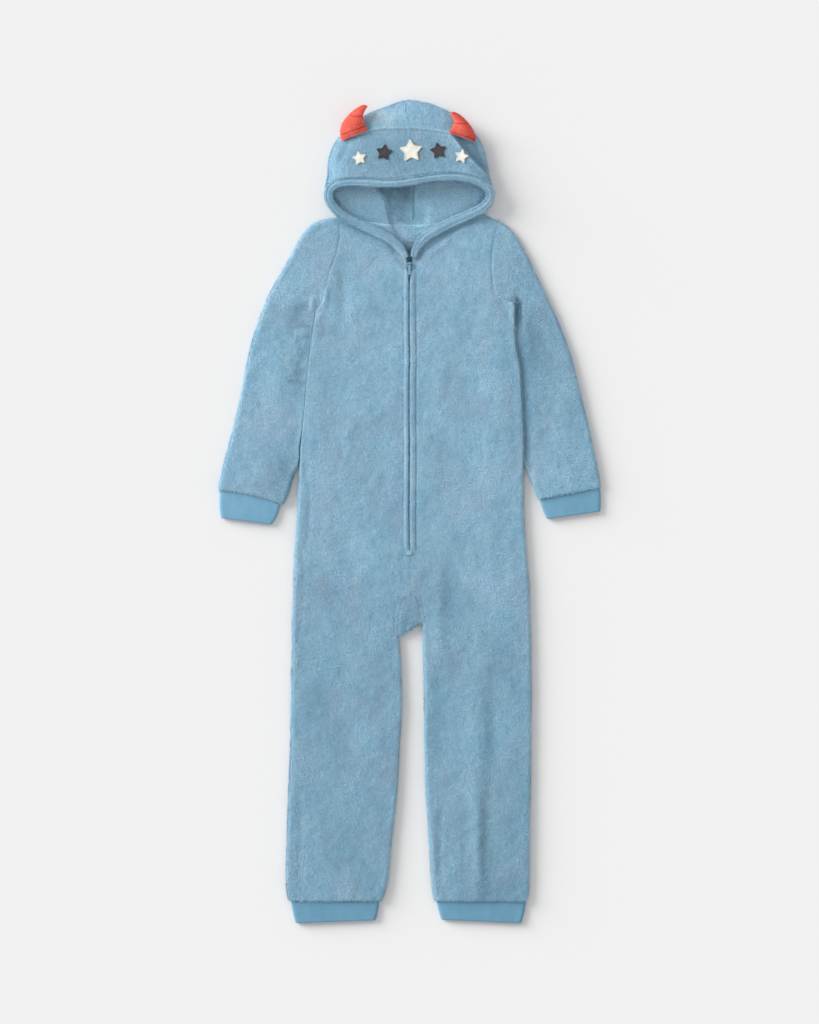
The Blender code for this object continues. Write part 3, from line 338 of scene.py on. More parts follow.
# Horns, ring by ring from the brow seam to the tip. outer x, y, inner x, y, half height
HORN_RIGHT = [
    (-98.9, 536.4, -61, 551.8, 2.6), (-101.6, 545, -64.8, 559.4, 4.8),
    (-99.8, 557.9, -67, 567.6, 5.8), (-94, 568.2, -67, 575, 5.4),
    (-84.8, 578.2, -64.6, 581.2, 4.6), (-75.4, 585.4, -61.4, 585.6, 3.4),
    (-68.4, 588.2, -62.8, 587.9, 1.6),
]
HORN_LEFT = [
    (95.4, 534.9, 56.2, 548.4, 2.6), (95.2, 542.6, 60.4, 554.9, 4.8),
    (91.4, 552.2, 63.4, 561.8, 5.8), (85.4, 561.4, 62.6, 567.6, 5.2),
    (77.8, 569.8, 60.2, 572.4, 4.2), (70.4, 575.6, 58.6, 576, 3),
    (65.4, 577.9, 60, 577.8, 1.5),
]
HORNS = {"right": HORN_RIGHT, "left": HORN_LEFT}
HORN_LIFT = (20.5, 25.5)  # height of a horn's middle at its outer and inner side

# Appliques on the brow: x, y, radius, turn in degrees, and whether it is dark
STARS = [
    (-73, 511, 10.5, 12, False), (-37.5, 519.5, 12.5, -8, True), (1.5, 521.5, 17.5, 4, False),
    (41, 522, 12.5, 10, True), (74.5, 513.5, 10.5, -14, False),
]
STAR_THICK = 1.2
STAR_GAP = SEAM * 1.4 + 0.35  # room between a star and the brow
STAR_RINGS = [0.3, 0.55, 0.75, 0.88, 0.95, 1.0]  # shares of its reach

# Soft folds of the front layers, from one end to the other: x, y, x, y, half width, height
FOLDS = [
    (-94, 372, -100, 250, 9, -1.1),
    (-80, 330, -88, 180, 12, 0.6),
    (-120.5, 330, -124.5, 290, 3.4, 1.2),
    (-124.5, 292, -140, 268, 3.2, 1.1),
    (-141, 314, -140, 286, 3.4, 1),
    (-133, 300, -131, 322, 5, -1),
    (-160, 302, -146, 262, 7, -1.2),
    (-166, 250, -152, 244, 4.5, -1.1),
    (-170, 234, -153, 226, 4.5, 0.8),
    (-166, 216, -154, 212, 4.5, -1),
    (-172, 170, -160, 80, 9, -0.8),
    (-144, 40, -150, -60, 4, -1),
    (-158, -400, -161, -560, 5, -0.9),
    (57, -46, 54, -270, 9, -1),
    (42, -60, 40, -240, 8, 0.6),
    (98, -380, 101, -560, 6, 0.8),
    (109.5, -380, 110, -562, 6.5, -1.2),
    (46, -400, 43, -545, 5, -0.9),
    (33, -420, 36, -548, 3.5, 0.8),
    (14, 372, 68, 413, 6, -2),
    (20, 366, 62, 400, 3.6, 1.2),
    (-52, 404, -14, 376, 4.5, -1.2),
    (-50, 394, -8, 367, 3.2, 1.1),
    (140, 318, 152, 296, 4, 1.2),
    (152, 326, 176, 300, 9, -0.8),
    (146, 354, 156, 320, 7, 0.7),
    (109, -180, 108, -420, 9, 0.6),
    (120, -190, 119, -430, 10, -0.6),
    (46, -215, 47, -400, 11, -0.5),
    (-141, 318, -158, 236, 7, 0.8),
    (-148, 275, -176, 250, 6, -0.8),
    (128, 312, 152, 262, 5, -0.9),
    (158, 330, 166, 250, 8, 0.9),
    (92, 400, 120, 250, 16, 0.7),
    (-84, 60, -60, -90, 22, 0.6),
    (84, 70, 66, -80, 22, -0.5),
    (-30, -150, -84, -250, 14, 0.7),
    (30, -150, 60, -240, 12, 0.7),
    (-214, 220, -206, 120, 12, -0.8),
    (212, 190, 224, 90, 12, 0.7),
]
# Lines of stitches round the horns: row number at the outer and at the inner side
HORN_QUILTING = {"right": [(1.0, 0.8), (3.6, 2.5)], "left": [(0.35, 0.3), (3.1, 2.0)]}


def linear(code):
    """A linear colour from its sRGB hex code."""
    parts = [int(code[i : i + 2], 16) / 255 for i in (1, 3, 5)]
    return tuple(c / 12.92 if c <= 0.04045 else ((c + 0.055) / 1.055) ** 2.4 for c in parts)


def colour(name, about, code):
    return FloatVectorProperty(name=name, description=about, default=linear(code), subtype="COLOR",
                               min=0, max=1)


def length(name, about, default):
    return FloatProperty(name=name, description=about, default=default, min=0, unit="LENGTH", precision=5)


def amount(name, about, default):
    return FloatProperty(name=name, description=about, default=default, min=0)


def degrees(name, about, default):
    return FloatProperty(name=name, description=about, default=math.radians(default), subtype="ANGLE")


class PajamaSizes(bpy.types.PropertyGroup):
    cell: length("Cell", "Spacing of the points of the upper plush shells", 0.0028)
    under_cell: length("Under cell", "Spacing of the points of the back, which lies on the surface", 0.0050)
    pile_length: length("Pile length", "Length of the plush's fibres", 0.0030)
    pile_width: length("Pile width", "Width of a lock of fibres at its root", 0.00085)
    pile_density: IntProperty(name="Pile density", description="Locks of fibres on a square centimetre",
                              default=96, min=0)
    pile_lean: degrees("Pile lean", "Angle of the fibres over the cloth", 30)
    stitch_pitch: length("Stitch pitch", "From one stitch to the next", 0.0036)
    thread: length("Thread", "Radius of the sewing thread", 0.00032)
    coil_pitch: length("Coil pitch", "From one turn of the zip's coil to the next", 0.0016)
    knit_pitch: length("Knit pitch", "Width of a wale of the jersey, coarse enough to show", 0.0016)


class PajamaColours(bpy.types.PropertyGroup):
    plush_light: colour("Plush, nap up", "Plush where the nap leans to the light", "#BEDDEC")
    plush: colour("Plush", "Plush, most of it", "#A3D0E6")
    plush_deep: colour("Plush, nap down", "Plush where the nap leans away", "#94C8E2")
    plush_grey: colour("Plush, brushed", "Plush that was stroked the other way", "#B2CCE0")
    jersey: colour("Jersey", "Cuffs", "#7FB2CF")
    coral: colour("Coral fleece", "Horns", "#FF7563")
    coral_thread: colour("Horn thread", "Stitching of the horns", "#8E3535")
    thread: colour("Thread", "Sewing thread of the blue pieces", "#9CC6DA")
    white: colour("White felt", "Light stars", "#F1EEE4")
    charcoal: colour("Charcoal felt", "Dark stars", "#4A4447")
    tape: colour("Zip tape", "Woven tape and coil of the zip", "#76A5BE")
    enamel: colour("Enamel", "Slider and pull of the zip", "#6F9FB4")
    floor: colour("Floor", "Surface that the pajama lies on", "#ECECEC")


class PajamaStage(bpy.types.PropertyGroup):
    view_height: length("View height", "Height of the surface that the camera shows", 1.4848)
    camera_height: length("Camera height", "From the surface up to the camera", 12.0)
    key_strength: amount("Key light", "Strength of the soft light", 3.60)
    key_softness: degrees("Key softness", "How wide the light looks from the surface", 36)
    key_elevation: degrees("Key height", "Angle of the light over the surface", 21)
    key_direction: degrees("Key direction", "Where the light comes from, round from +X", 150)
    sky: amount("Sky", "Strength of the even light from all round", 0.64)


def sizes():
    return bpy.context.scene.pajama_sizes


def tint(name):
    return (*getattr(bpy.context.scene.pajama_colours, name), 1.0)


# ---------------------------------------------------------------- curves and plan grids, in mm


def smooth(t):
    """0 to 1 as t goes from 0 to 1, level at both ends."""
    t = np.clip(t, 0.0, 1.0)
    return t * t * (3 - 2 * t)


def hump(gap, width):
    """1 where the gap is 0, falling off on both sides over about a width."""
    return np.exp(-((gap / width) ** 2))


def norm(vectors):
    """Lengths of vectors."""
    return np.sqrt((vectors**2).sum(-1))


def unit(vectors, least=0.0):
    """Vectors brought to length 1; those shorter than least stay shorter."""
    return vectors / np.maximum(norm(vectors), least)[..., None]


def running(steps):
    """Running total of steps, from 0."""
    return np.concatenate([[0], np.cumsum(steps)])


def line_length(line):
    return float(norm(np.diff(line, axis=0)).sum())


def x_at(y, line):
    """x of a line that runs down, where it is at y."""
    return np.interp(y, line[::-1, 1], line[::-1, 0])


def span(at, low, rise, high, fall):
    """1 from low to high and 0 outside, coming up over rise and going down over fall."""
    return smooth((at - low) / rise) * smooth((high - at) / fall)


def corners_of(grid):
    """The four corners of each of a grid's cells, in turn."""
    return grid[:-1, :-1], grid[:-1, 1:], grid[1:, 1:], grid[1:, :-1]


def closed(grid):
    """A grid with its first column again after its last."""
    return np.concatenate([grid, grid[:, :1]], axis=1)


def through(table, at):
    """The rows of a table at fractional row numbers, on a smooth curve through them."""
    p = np.asarray(table, float)
    p = np.vstack([2 * p[0] - p[1], p, 2 * p[-1] - p[-2]])
    at = np.clip(np.asarray(at, float), 0, len(p) - 3)
    i = np.minimum(at.astype(int), len(p) - 4)
    f = (at - i)[:, None]
    a, b, c, d = p[i], p[i + 1], p[i + 2], p[i + 3]
    return b + 0.5 * f * (c - a + f * (2 * a - 5 * b + 4 * c - d + f * (3 * (b - c) + d - a)))


def fine(table, first=0, last=None):
    """A smooth curve through some of a table's rows, in twelfths of a row."""
    last = len(table) - 1 if last is None else last
    return through(table, np.linspace(first, last, int(round(12 * abs(last - first))) + 1))


def spaced(table, stops, cell):
    """Row numbers of a table, an odd count of them, about cell apart and with all the stops."""
    made = [np.array([float(stops[0])])]
    for first, last in zip(stops[:-1], stops[1:]):
        at = np.linspace(first, last, int(40 * (last - first)) + 2)
        steps = np.diff(through(table, at), axis=0) ** 2
        edges = [np.sqrt(steps[:, k] + steps[:, k + 1]) for k in range(0, steps.shape[1], 2)]
        run = running(np.mean(edges, axis=0))
        count = 2 * math.ceil(run[-1] / cell / 2)
        made.append(np.interp(np.linspace(0, run[-1], count + 1)[1:], run, at))
    return np.concatenate(made)


def along(line, shares):
    """Points at shares of a line's length."""
    run = running(norm(np.diff(line, axis=0)))
    return np.column_stack([np.interp(shares * run[-1], run, line[:, k]) for k in range(line.shape[1])])


def beside(line, gap):
    """A line beside another, to its left for a positive gap."""
    heading = unit(np.gradient(line, axis=0))
    return line + gap * np.column_stack([-heading[:, 1], heading[:, 0]])


def nearest(points, lines, inside):
    """How far each point is from the nearest of some lines, and which way out that line is."""
    best, out = np.full(len(points), 1e9), np.zeros((len(points), 2))
    for line in lines:
        a, ab = line[:-1], np.diff(line, axis=0)
        keep = (ab**2).sum(1) > 1e-12
        a, ab = a[keep], ab[keep]
        for start in range(0, len(points), 3000):
            part = slice(start, start + 3000)
            p, within = points[part], inside[part]
            t = np.clip(((p[:, None] - a) * ab).sum(2) / (ab**2).sum(1), 0, 1)
            gap = a + t[..., None] * ab - p[:, None]
            far = norm(gap)
            k = far.argmin(1)
            each = np.arange(len(p))
            gap, far = gap[each, k], far[each, k]
            across = unit(np.stack([ab[k, 1], -ab[k, 0]], 1))
            across *= np.where(((p + gap - within) * across).sum(1) < 0, -1, 1)[:, None]
            way = np.where(far[:, None] > 0.05, gap / np.maximum(far, 1e-9)[:, None], across)
            closer = far < best[part]
            best[part] = np.where(closer, far, best[part])
            out[part] = np.where(closer[:, None], way, out[part])
    return best, out


def distance(points, line):
    """How far each point is from a line."""
    return nearest(points, [line], points)[0]


def far_from(points, line):
    """How far points are from a line, of which every fourth point is enough."""
    return distance(points, np.concatenate([line[::4], line[-1:]]))


def ripple(xy, scale, seed):
    """Smooth noise from -1 to 1 over the plan, in patches about scale mm across."""
    values = np.random.default_rng(seed).random((61, 67)) * 2 - 1
    u, v = xy[:, 0] / scale, xy[:, 1] / scale
    i, j = np.floor(u).astype(int), np.floor(v).astype(int)
    a, b = smooth(u - i), smooth(v - j)
    low, high = (values[i % 61, k % 67] * (1 - a) + values[(i + 1) % 61, k % 67] * a for k in (j, j + 1))
    return low * (1 - b) + high * b


# Unevenness of the plush: height, scale, seed
LUMPS = [(0.9, 64, 5), (0.55, 23, 6), (0.3, 9, 3), (0.22, 4.6, 4)]


def lumps(xy):
    """Unevenness of the plush, as its pile lies in locks and the cloth is slack."""
    return sum(high * ripple(xy, scale, seed) for high, scale, seed in LUMPS)


# Patches where the pile is paler or deeper: some where the nap lies one way or the other, some painted shade
# in creases and folds, some painted highlight where the pile faces the light.
# x, y, half its width, half its length, how much
NAP_AND_PAINTED_LIGHT = [
    (-102, 325, 13, 60, -0.5), (-188, 320, 20, 36, 0.35), (-162, 290, 16, 24, -0.6),
    (-128, 264, 11, 14, -0.5), (-50, 297, 14, 11, -0.4), (-158, 236, 12, 30, -0.45),
    (-66, 230, 22, 60, 0.25), (-120, 150, 14, 70, -0.3), (-60, 90, 26, 50, -0.25),
    (-205, 150, 18, 60, 0.35), (-180, 60, 18, 26, -0.35), (-236, 70, 14, 40, 0.3),
    (60, 330, 30, 40, 0.2), (108, 270, 14, 50, 0.35), (70, 190, 20, 60, -0.3),
    (120, 90, 18, 70, 0.25), (40, 60, 16, 50, -0.3), (178, 318, 18, 26, 0.3),
    (176, 240, 16, 40, -0.5), (222, 150, 18, 60, 0.35), (240, 60, 16, 30, -0.2),
    (-120, -110, 26, 16, -0.3), (-70, -60, 30, 30, 0.25), (60, -150, 12, 90, -0.45),
    (112, -120, 22, 40, 0.3), (128, -190, 16, 24, -0.4), (-130, -280, 16, 60, -0.25),
    (-70, -320, 26, 50, 0.25), (110, -300, 12, 80, -0.5), (84, -360, 12, 70, 0.35),
    (150, -330, 16, 90, 0.2), (-96, -470, 30, 50, -0.25), (110, -500, 10, 60, -0.7),
    (90, -470, 9, 70, 0.45), (150, -480, 14, 60, 0.25), (-140, -440, 12, 60, 0.2),
    # Painted highlight on the crown's right half and the brow's right edge, which face the light; painted
    # shade beyond the brow's ridge; the brow deeper all over
    (-44, 573, 26, 12, 1), (30, 576, 26, 10, 0.1), (-112, 512, 7, 20, 0.35),
    (97, 524, 13, 24, -0.5), (-6, 515, 104, 27, -0.8),
    # Painted shade in the creases of the right sleeve by the underarm, with a painted highlight on the
    # trunk's rim beside them
    (-150, 269, 9, 2, -0.9), (-152, 253.5, 8, 1.8, -0.7), (-166, 201, 11, 12, -0.6),
    (-163, 188.5, 12, 2.4, -0.6), (-166, 171.5, 12, 2.6, -0.5), (-151, 297, 5, 9, -0.7),
    (-144, 300, 2, 12, 0.8),
]


def lie(xy, name):
    """How pale or deep the pile's colour is: 0.5 as it is, more where it is paler, less where it is deeper.

    In part these are patches where the nap lies one way or the other. In part they are painted light on edges
    and ridges, and painted shade in folds, creases, under the hem and towards the legs. Below 0 it is painted
    shade down in a fold.
    """
    x, y = xy.T
    # Darker towards the legs, a painted shade as the light falls off there; darker too over the left sleeve,
    # most of all its upper part, and over the lower left leg
    value = 0.06 - 0.5 * smooth((260 - y) / 620) - 0.3 * smooth((x - 118) / 40) * smooth((y - 40) / 80)
    value -= 0.28 * smooth((x - 148) / 30) * smooth((y - 110) / 60)
    value -= 0.2 * smooth((x - 40) / 60) * smooth((-300 - y) / 120)
    for at_x, at_y, wide, tall, much in NAP_AND_PAINTED_LIGHT:
        gap = ((x - at_x) / wide) ** 2 + ((y - at_y) / tall) ** 2
        uneven = 1 + 0.5 * ripple(xy, 0.7 * wide, 31) + 0.3 * ripple(xy, 0.3 * wide, 32)
        value += much * np.exp(-gap * uneven)
    if "sleeve" in name:
        # On the left sleeve: painted shadow where the trunk's edge stands over it, and painted shade in the
        # wedge under the arm
        beside_trunk = far_from(xy, SIDES["left"]) + 99 * (x < 0)
        value -= 1.5 * np.exp(-((beside_trunk / 9) ** 1.5)) * span(y, 30, 70, 322, 24)
        underarm_shade = smooth((x - 150.8) / 1.3) * smooth((151.5 + 13 * smooth((325 - y) / 30) - x) / 5)
        value -= 2.4 * underarm_shade * span(y, 258, 34, 322, 5)
    if "front" in name or "edges" in name:
        # Painted highlight along the right side's edge and the armhole's lower part. Painted light on the
        # left side's edge and the right leg's inner edge, which face away from the light and would lie in
        # shade. A painted highlight on each lip of the zip, and painted shade at the row of stitches on its
        # left. The centre seam is darker but for a stretch near its middle
        edge = np.minimum(far_from(xy, SIDES["right"]), far_from(xy, ARMHOLES["right"][36:]))
        value += 0.9 * hump(edge, 1.5) * span(y, 40, 60, 330, 30)
        away = np.minimum(far_from(xy, SIDES["left"]), far_from(xy, INSIDE_LEGS) + 99 * (x > 0))
        value += 1.1 * hump(away, 3.4)
        across = x - middle_line(y)
        lip_highlights = 0.45 * hump(across + 6.6, 1.2) + 0.4 * hump(across - 6.4, 1.3)
        value += span(y, ZIP_END, 8, 350, 12) * (lip_highlights - 0.9 * hump(across - ZIP_STITCHES[1], 0.9))
        value -= 0.7 * hump(far_from(xy, CENTRE_SEAM), 0.9) * smooth((np.abs(y + 93) - 9) / 14)
    if "gusset" in name or "edges" in name:
        # Painted shade over the gusset between the legs, deeper in a spot near its top on the right
        value -= 0.4 * smooth((y + 184) / 5) * smooth((15 - np.abs(x)) / 3)
        value -= 0.5 * hump(x + 6.5, 2.2) * hump(y + 160, 9)
    if "sleeve" in name or "hood" in name and "inside" not in name:
        # Painted light on edges that face away from the light and would lie in shade: the left sleeve's upper
        # fold and the hood's left side
        away = np.minimum(far_from(xy, OVERARMS["left"]), far_from(xy, OUTLINE) + 99 * (x < 40))
        value += 0.6 * hump(away, 3.6)
    if "inside" in name or name == "plush_back":
        # Inside the hood and on the back: tone at random, with painted shade in several places. It lies in
        # the middle between the hood's side folds, under the hem at the hood's right and in a spot left of
        # the middle, and deepens down past the neck seam. Along the seam at the hood's back there is a
        # painted highlight with a painted shadow just to its left
        folded = smooth((x - x_at(y, fine(INNER_FOLD["right"]))) / 3) * smooth((5.5 - x) / 2)
        value = 0.42 + 0.35 * ripple(xy, 8, 33) + 0.25 * ripple(xy, 4, 34)
        value -= 2.3 * folded * (0.45 + 0.55 * smooth((y - 420) / 32)) * smooth((y - 414) / 8)
        value -= 1.0 * hump(x + 100, 22) * hump(y - 467, 9) + 0.5 * hump(x - 17, 12) * hump(y - 458, 18)
        value -= 0.6 * smooth((420 - y) / 4) + 0.7 * smooth((400 - y) / 12) + 1.8 * smooth((390 - y) / 16)
        value += smooth((y - 419) / 5) * (0.9 * hump(x - 2.2, 1.5) - 1.3 * hump(x - 5.8, 1.3))
    elif "jersey" in name:
        # The cuffs are darker towards the ankles, a painted shade as the light falls off there; darker too at
        # the left wrist
        value = 0.02 - 0.62 * smooth((100 - y) / 500) - 0.32 * smooth(x / 150) * smooth((y + 100) / 100)
    elif "hood" in name:
        # A painted highlight along the brow seam, and at the brow's ridge a painted highlight with painted
        # shade beyond it, on the side away from the light
        value += 0.7 * hump(far_from(xy, fine(BROW_SEAM)), 1.5)
        off = 0.72 * (x - x_at(y, fine(BROW_RIDGE)))
        value += span(y, 482, 12, 551, 8) * (0.7 * hump(off + 0.4, 1.6) - 0.9 * span(off, 0, 2.5, 22, 14))
    return np.clip(0.5 + 0.5 * value, -1, 1)


def layer(plan, edges, side, wall, side_z, rise, reach, lift=None, inner_lift=None, uneven=1.0):
    """Both skins of a layer of cloth over a grid of plan points: (outer, inner).

    It curves to side_z at the edges, from above for side 1 and from the surface for side -1.
    """
    shape = plan.shape[:2]
    xy = plan.reshape(-1, 2)
    inside = np.repeat(0.7 * plan.mean(1) + 0.3 * plan.mean((0, 1)), shape[1], axis=0)
    d, out = nearest(xy, edges, inside)
    d = np.where(d < 0.03, 0.0, d)
    side_z, rise = (f(xy) if callable(f) else np.full(len(xy), float(f)) for f in (side_z, rise))
    reach = reach(xy) if callable(reach) else reach
    c = np.clip(1 - d / reach, 0, 1)
    s = np.sqrt(1 - c * c)
    normal = unit(np.column_stack([(rise * c)[:, None] * out, side * reach * s]))
    outer = np.column_stack([xy, side_z + side * rise * s])
    inner = outer - wall * normal
    if lift is not None:
        up = lift(xy, d)
        outer[:, 2] += up
        inner[:, 2] += up
    if inner_lift is not None:
        inner[:, 2] += inner_lift(xy)
    if side > 0:
        outer += normal * (uneven * lumps(xy) * smooth(d / 9))[:, None]
    return outer.reshape(*shape, 3), inner.reshape(*shape, 3)


def cut_gaps(plan, top=False, foot=False, start=None, end=None):
    """How far each point of a plan grid is from where the cloth is cut or folded over at its edges.

    start and end say for each row, from 0 to 1, whether its first and its last point are there.
    """
    run = running(norm(np.diff(plan[:, [0, -1]], axis=0)).mean(1))
    gaps = np.full(plan.shape[:2], 50.0)
    if top:
        gaps = np.minimum(gaps, run[:, None])
    if foot:
        gaps = np.minimum(gaps, (run[-1] - run)[:, None])
    for share, corner in ((start, plan[:, :1]), (end, plan[:, -1:])):
        if share is not None:
            gaps = np.minimum(gaps, norm(plan - corner) + 6 * (1 - share)[:, None])
    return gaps


def rounded(skins, gaps, radius=1.9, least=0.2):
    """Both skins, drawn together towards the edges of the cloth, to a least share of its thickness."""
    outer, inner = skins
    middle, half = (outer + inner) / 2, (outer - inner) / 2
    share = np.clip(gaps / radius, 0, 1)
    share = (least + (1 - least) * np.sqrt(share * (2 - share)))[..., None]
    return middle + half * share, middle - half * share


def normals_of(points):
    """Unit normals of a grid of points."""
    return unit(np.cross(np.gradient(points, axis=0), np.gradient(points, axis=1)), 1e-9)


# ---------------------------------------------------------------- meshes

PAINTED_LIGHT_SHARE = {"pile_hood_inside": 1.0, "plush_back": 0.3}  # how much paler the colour is made: painted light on the hood's inside and on the back, which lie in shade

BEDS = {}  # where pile grows: its name, and grids of points, unit normals, shares of the density, naps
DOWN = (0.0, -1.0, 0.0)  # along the panels, where their nap runs
PILE_LEAST = 0.15  # how far the pile keeps off the surface
# Piles: bed, look, seed, length and density, both against the sizes' own
PILES = [
    ("front_right", PILE_LOOK, 1, 1.0, 1.0),
    ("front_left", PILE_LOOK, 2, 1.0, 1.0),
    ("sleeves", PILE_LOOK, 3, 1.0, 1.0),
    ("hood", PILE_LOOK, 4, 1.0, 1.0),
    ("hood_inside", PILE_LOOK, 5, 1.3, 1.3),
    ("edges", PILE_LOOK, 6, 1.0, 1.0),
    ("horns", HORN_PILE_LOOK, 9, 0.5, 1.6),
]


def grow(name, points, toward=1, share=None, normals=None, nap=None):
    """Keeps a grid as a bed for pile. Its normals are given, or point up or down as toward says.

    The pile leans along the grid's columns, or where nap points.
    """
    if normals is None:
        normals = normals_of(points)
        normals = normals if normals[..., 2].mean() * toward > 0 else -normals
    share = np.ones(points.shape[:2]) if share is None else share
    BEDS.setdefault(name, []).append((points, normals, share, nap))


def add_piece(name, mesh, look, **fields):
    """A piece from its mesh, riding on the garment. The fields are attributes that its material reads."""
    for field, values in fields.items():
        mesh.attributes.new(field, "FLOAT", "POINT").data.foreach_set("value", values.astype(np.float32))
    mesh.materials.append(material(look[0]))
    made = bpy.data.objects.new(name, mesh)
    bpy.context.scene.collection.objects.link(made)
    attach(made, BODY)
    return made


def add_mesh(name, points, faces, look):
    """A piece from its points in mm and its faces, smooth but for its sharp edges."""
    points = np.asarray(points, float)
    mesh = bpy.data.meshes.new(name)
    mesh.from_pydata((points * MM).tolist(), [], [tuple(map(int, f)) for f in faces])
    form = bmesh.new()
    form.from_mesh(mesh)
    bmesh.ops.recalc_face_normals(form, faces=form.faces)
    form.to_mesh(mesh)
    form.free()
    mesh.shade_smooth()
    mesh.set_sharp_from_angle(angle=SHARP_EDGE)
    # The attributes carry painted light and shade to the material: a share of painted light for pieces in
    # shade, and how pale or deep the colour is
    full = np.full(len(points), PAINTED_LIGHT_SHARE.get(name, 0.0))
    return add_piece(name, mesh, look, full=full, lie=lie(points[:, :2], name))


class Cloth:
    """Grids of two skins that become one closed wall; the inner skin may be step times coarser."""

    def __init__(self, step):
        self.step, self.count = step, 0
        self.skins, self.outer, self.inner, self.sides = [], [], [], []

    def grid(self, skins):
        outer, inner = skins
        rows, columns = outer.shape[:2]
        index = self.count + np.arange(rows * columns).reshape(rows, columns)
        self.skins.append(np.concatenate([outer, inner], axis=2).reshape(-1, 6))
        self.count += rows * columns
        self.outer.append(self.quads(index))
        self.inner.append(self.quads(index[:: self.step, :: self.step]))
        for side in (index[0], index[:, -1], index[-1, ::-1], index[::-1, 0]):
            for k in range(0, len(side) - 1, self.step):
                self.sides.append([int(v) for v in side[k : k + self.step + 1]])

    @staticmethod
    def quads(index):
        return np.stack(corners_of(index), axis=2).reshape(-1, 4)

    @staticmethod
    def clean(face):
        """A face without points that fell together."""
        return [v for k, v in enumerate(face) if v != face[k - 1]]

    def make(self, name, look):
        skins = np.concatenate(self.skins)
        keys = np.round((skins + 0.00137) * 200).astype(int)
        _, first, which = np.unique(keys, axis=0, return_index=True, return_inverse=True)
        which, skins = which.ravel(), skins[first]
        count = len(skins)
        faces = [self.clean(f) for f in which[np.concatenate(self.outer)].tolist()]
        back = [self.clean(f[::-1]) for f in (which[np.concatenate(self.inner)] + count).tolist()]
        sides = [[int(which[v]) for v in side] for side in self.sides]
        used = {(s[0], s[-1]) for s in sides}
        for side in sides:
            if side[0] != side[-1] and (side[-1], side[0]) not in used:
                back.append(self.clean(side[::-1] + [side[0] + count, side[-1] + count]))
        faces = [f for f in faces + back if len(f) > 2]
        points = np.concatenate([skins[:, :3], skins[:, 3:]])
        kept = np.unique([v for f in faces for v in f])
        number = np.zeros(2 * count, int)
        number[kept] = np.arange(len(kept))
        return add_mesh(name, points[kept], [number[f] for f in faces], look)


def laid(grids):
    """Works out the size of a piece's flat cut from the grids it covers; nothing is done with it.

    The first grid says its width, and all of them one after the other its length.
    """
    wide = norm(np.diff(grids[0], axis=1)).sum(1).max() * MM
    tall = sum(norm(np.diff(g, axis=0)).sum(0).mean() for g in grids) * MM
    area = 0.0
    for g in grids:
        area += norm(np.cross(g[1:, 1:] - g[:-1, :-1], g[1:, :-1] - g[:-1, 1:])).sum() / 2
    area = min(area * MM * MM, wide * tall)


def sew(name, node_name, grids, cover, look=PLUSH_LOOK, step=2):
    """Makes a piece of cloth from grids of two skins, in place of a node of the part."""
    cloth = Cloth(step)
    for skins in grids:
        cloth.grid(skins)
    piece = cloth.make(name, look)
    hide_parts(node_name)
    laid(cover)


def stations(start, end, first, last, cell):
    """Plan points on straight rows from start to end, close together near the rows' ends."""
    widest = norm(end - start).max()
    count = math.ceil((widest - first[-1] - last[-1]) / cell)
    count += (len(first) + len(last) + count + 1) % 2
    plan = []
    for a, b in zip(start, end):
        width = math.dist(a, b)
        between = np.linspace(first[-1], width - last[-1], count + 2)[1:-1]
        at = np.concatenate([first, between, width - np.array(last[::-1])])
        plan.append(a + (b - a) * (at / width)[:, None])
    return np.array(plan)


def bow(plan, shares):
    """Raises the middle of the rows, in a bow."""
    share = norm(plan - plan[:, :1])
    share /= share[:, -1:]
    plan[..., 1] += HEM_BEND * shares[:, None] * 4 * share * (1 - share)


def bend(plan, rows, line, fade):
    """Lets the first row follow a line, and the next ones follow it less."""
    share = norm(plan[0] - plan[0][0])
    move = along(line, share / share[-1]) - plan[0]
    for i, row in enumerate(rows):
        plan[i] += move * (1 - smooth(row / fade))
    return plan


def drawn_in(table, start=0.0, end=0.0):
    """A table of rows from one point to another, with the rows' ends moved in, each by its own amount."""
    made = np.array(table, float)
    way = unit(made[:, 2:] - made[:, :2])
    made[:, :2] += way * np.broadcast_to(start, len(made))[:, None]
    made[:, 2:] -= way * np.broadcast_to(end, len(made))[:, None]
    return [tuple(row) for row in made]


# ---------------------------------------------------------------- where the cloth is sewn

for side, share in (("right", 0.6), ("left", -0.9)):
    table = PANELS[side]
    row = np.arange(len(table))
    beside_sleeve = (row > ARMHOLE_END) & (row < 13)
    table[:] = drawn_in(table, FRINGE * (row >= CROTCH),
                        FRINGE * (row > ARMHOLE_END) * np.where(beside_sleeve, share, 1.0))
GUSSET_FOLD[0], GUSSET_FOLD[-1] = PANEL_RIGHT[CROTCH][:2], PANEL_LEFT[CROTCH][:2]
for table in SLEEVES.values():
    row = np.arange(len(table))
    table[:] = drawn_in(table, FRINGE * smooth((row + 1.0) / 2), FRINGE * smooth((row - 12) / 3))
HOOD_OUTLINE[:] = [tuple(spot) for spot in beside(np.array(HOOD_OUTLINE), -0.8 * FRINGE)]
for end, station in ((0, SEAM_END_RIGHT), (-1, SEAM_END_LEFT)):
    BROW_SEAM[end] = tuple(through(HOOD_OUTLINE, [station])[0])


def first_edge(table, *rows):
    """Smooth line through the first points of a table's rows."""
    return fine([row[:2] for row in table], *rows)


def last_edge(table, *rows):
    """Smooth line through the last points of a table's rows."""
    return fine([row[2:] for row in table], *rows)


def middle_line(y):
    """x of the zip and the centre seam."""
    return np.interp(y, [-123, -106, -64, -40], [0.55, 0.75, 0.15, -1.0])


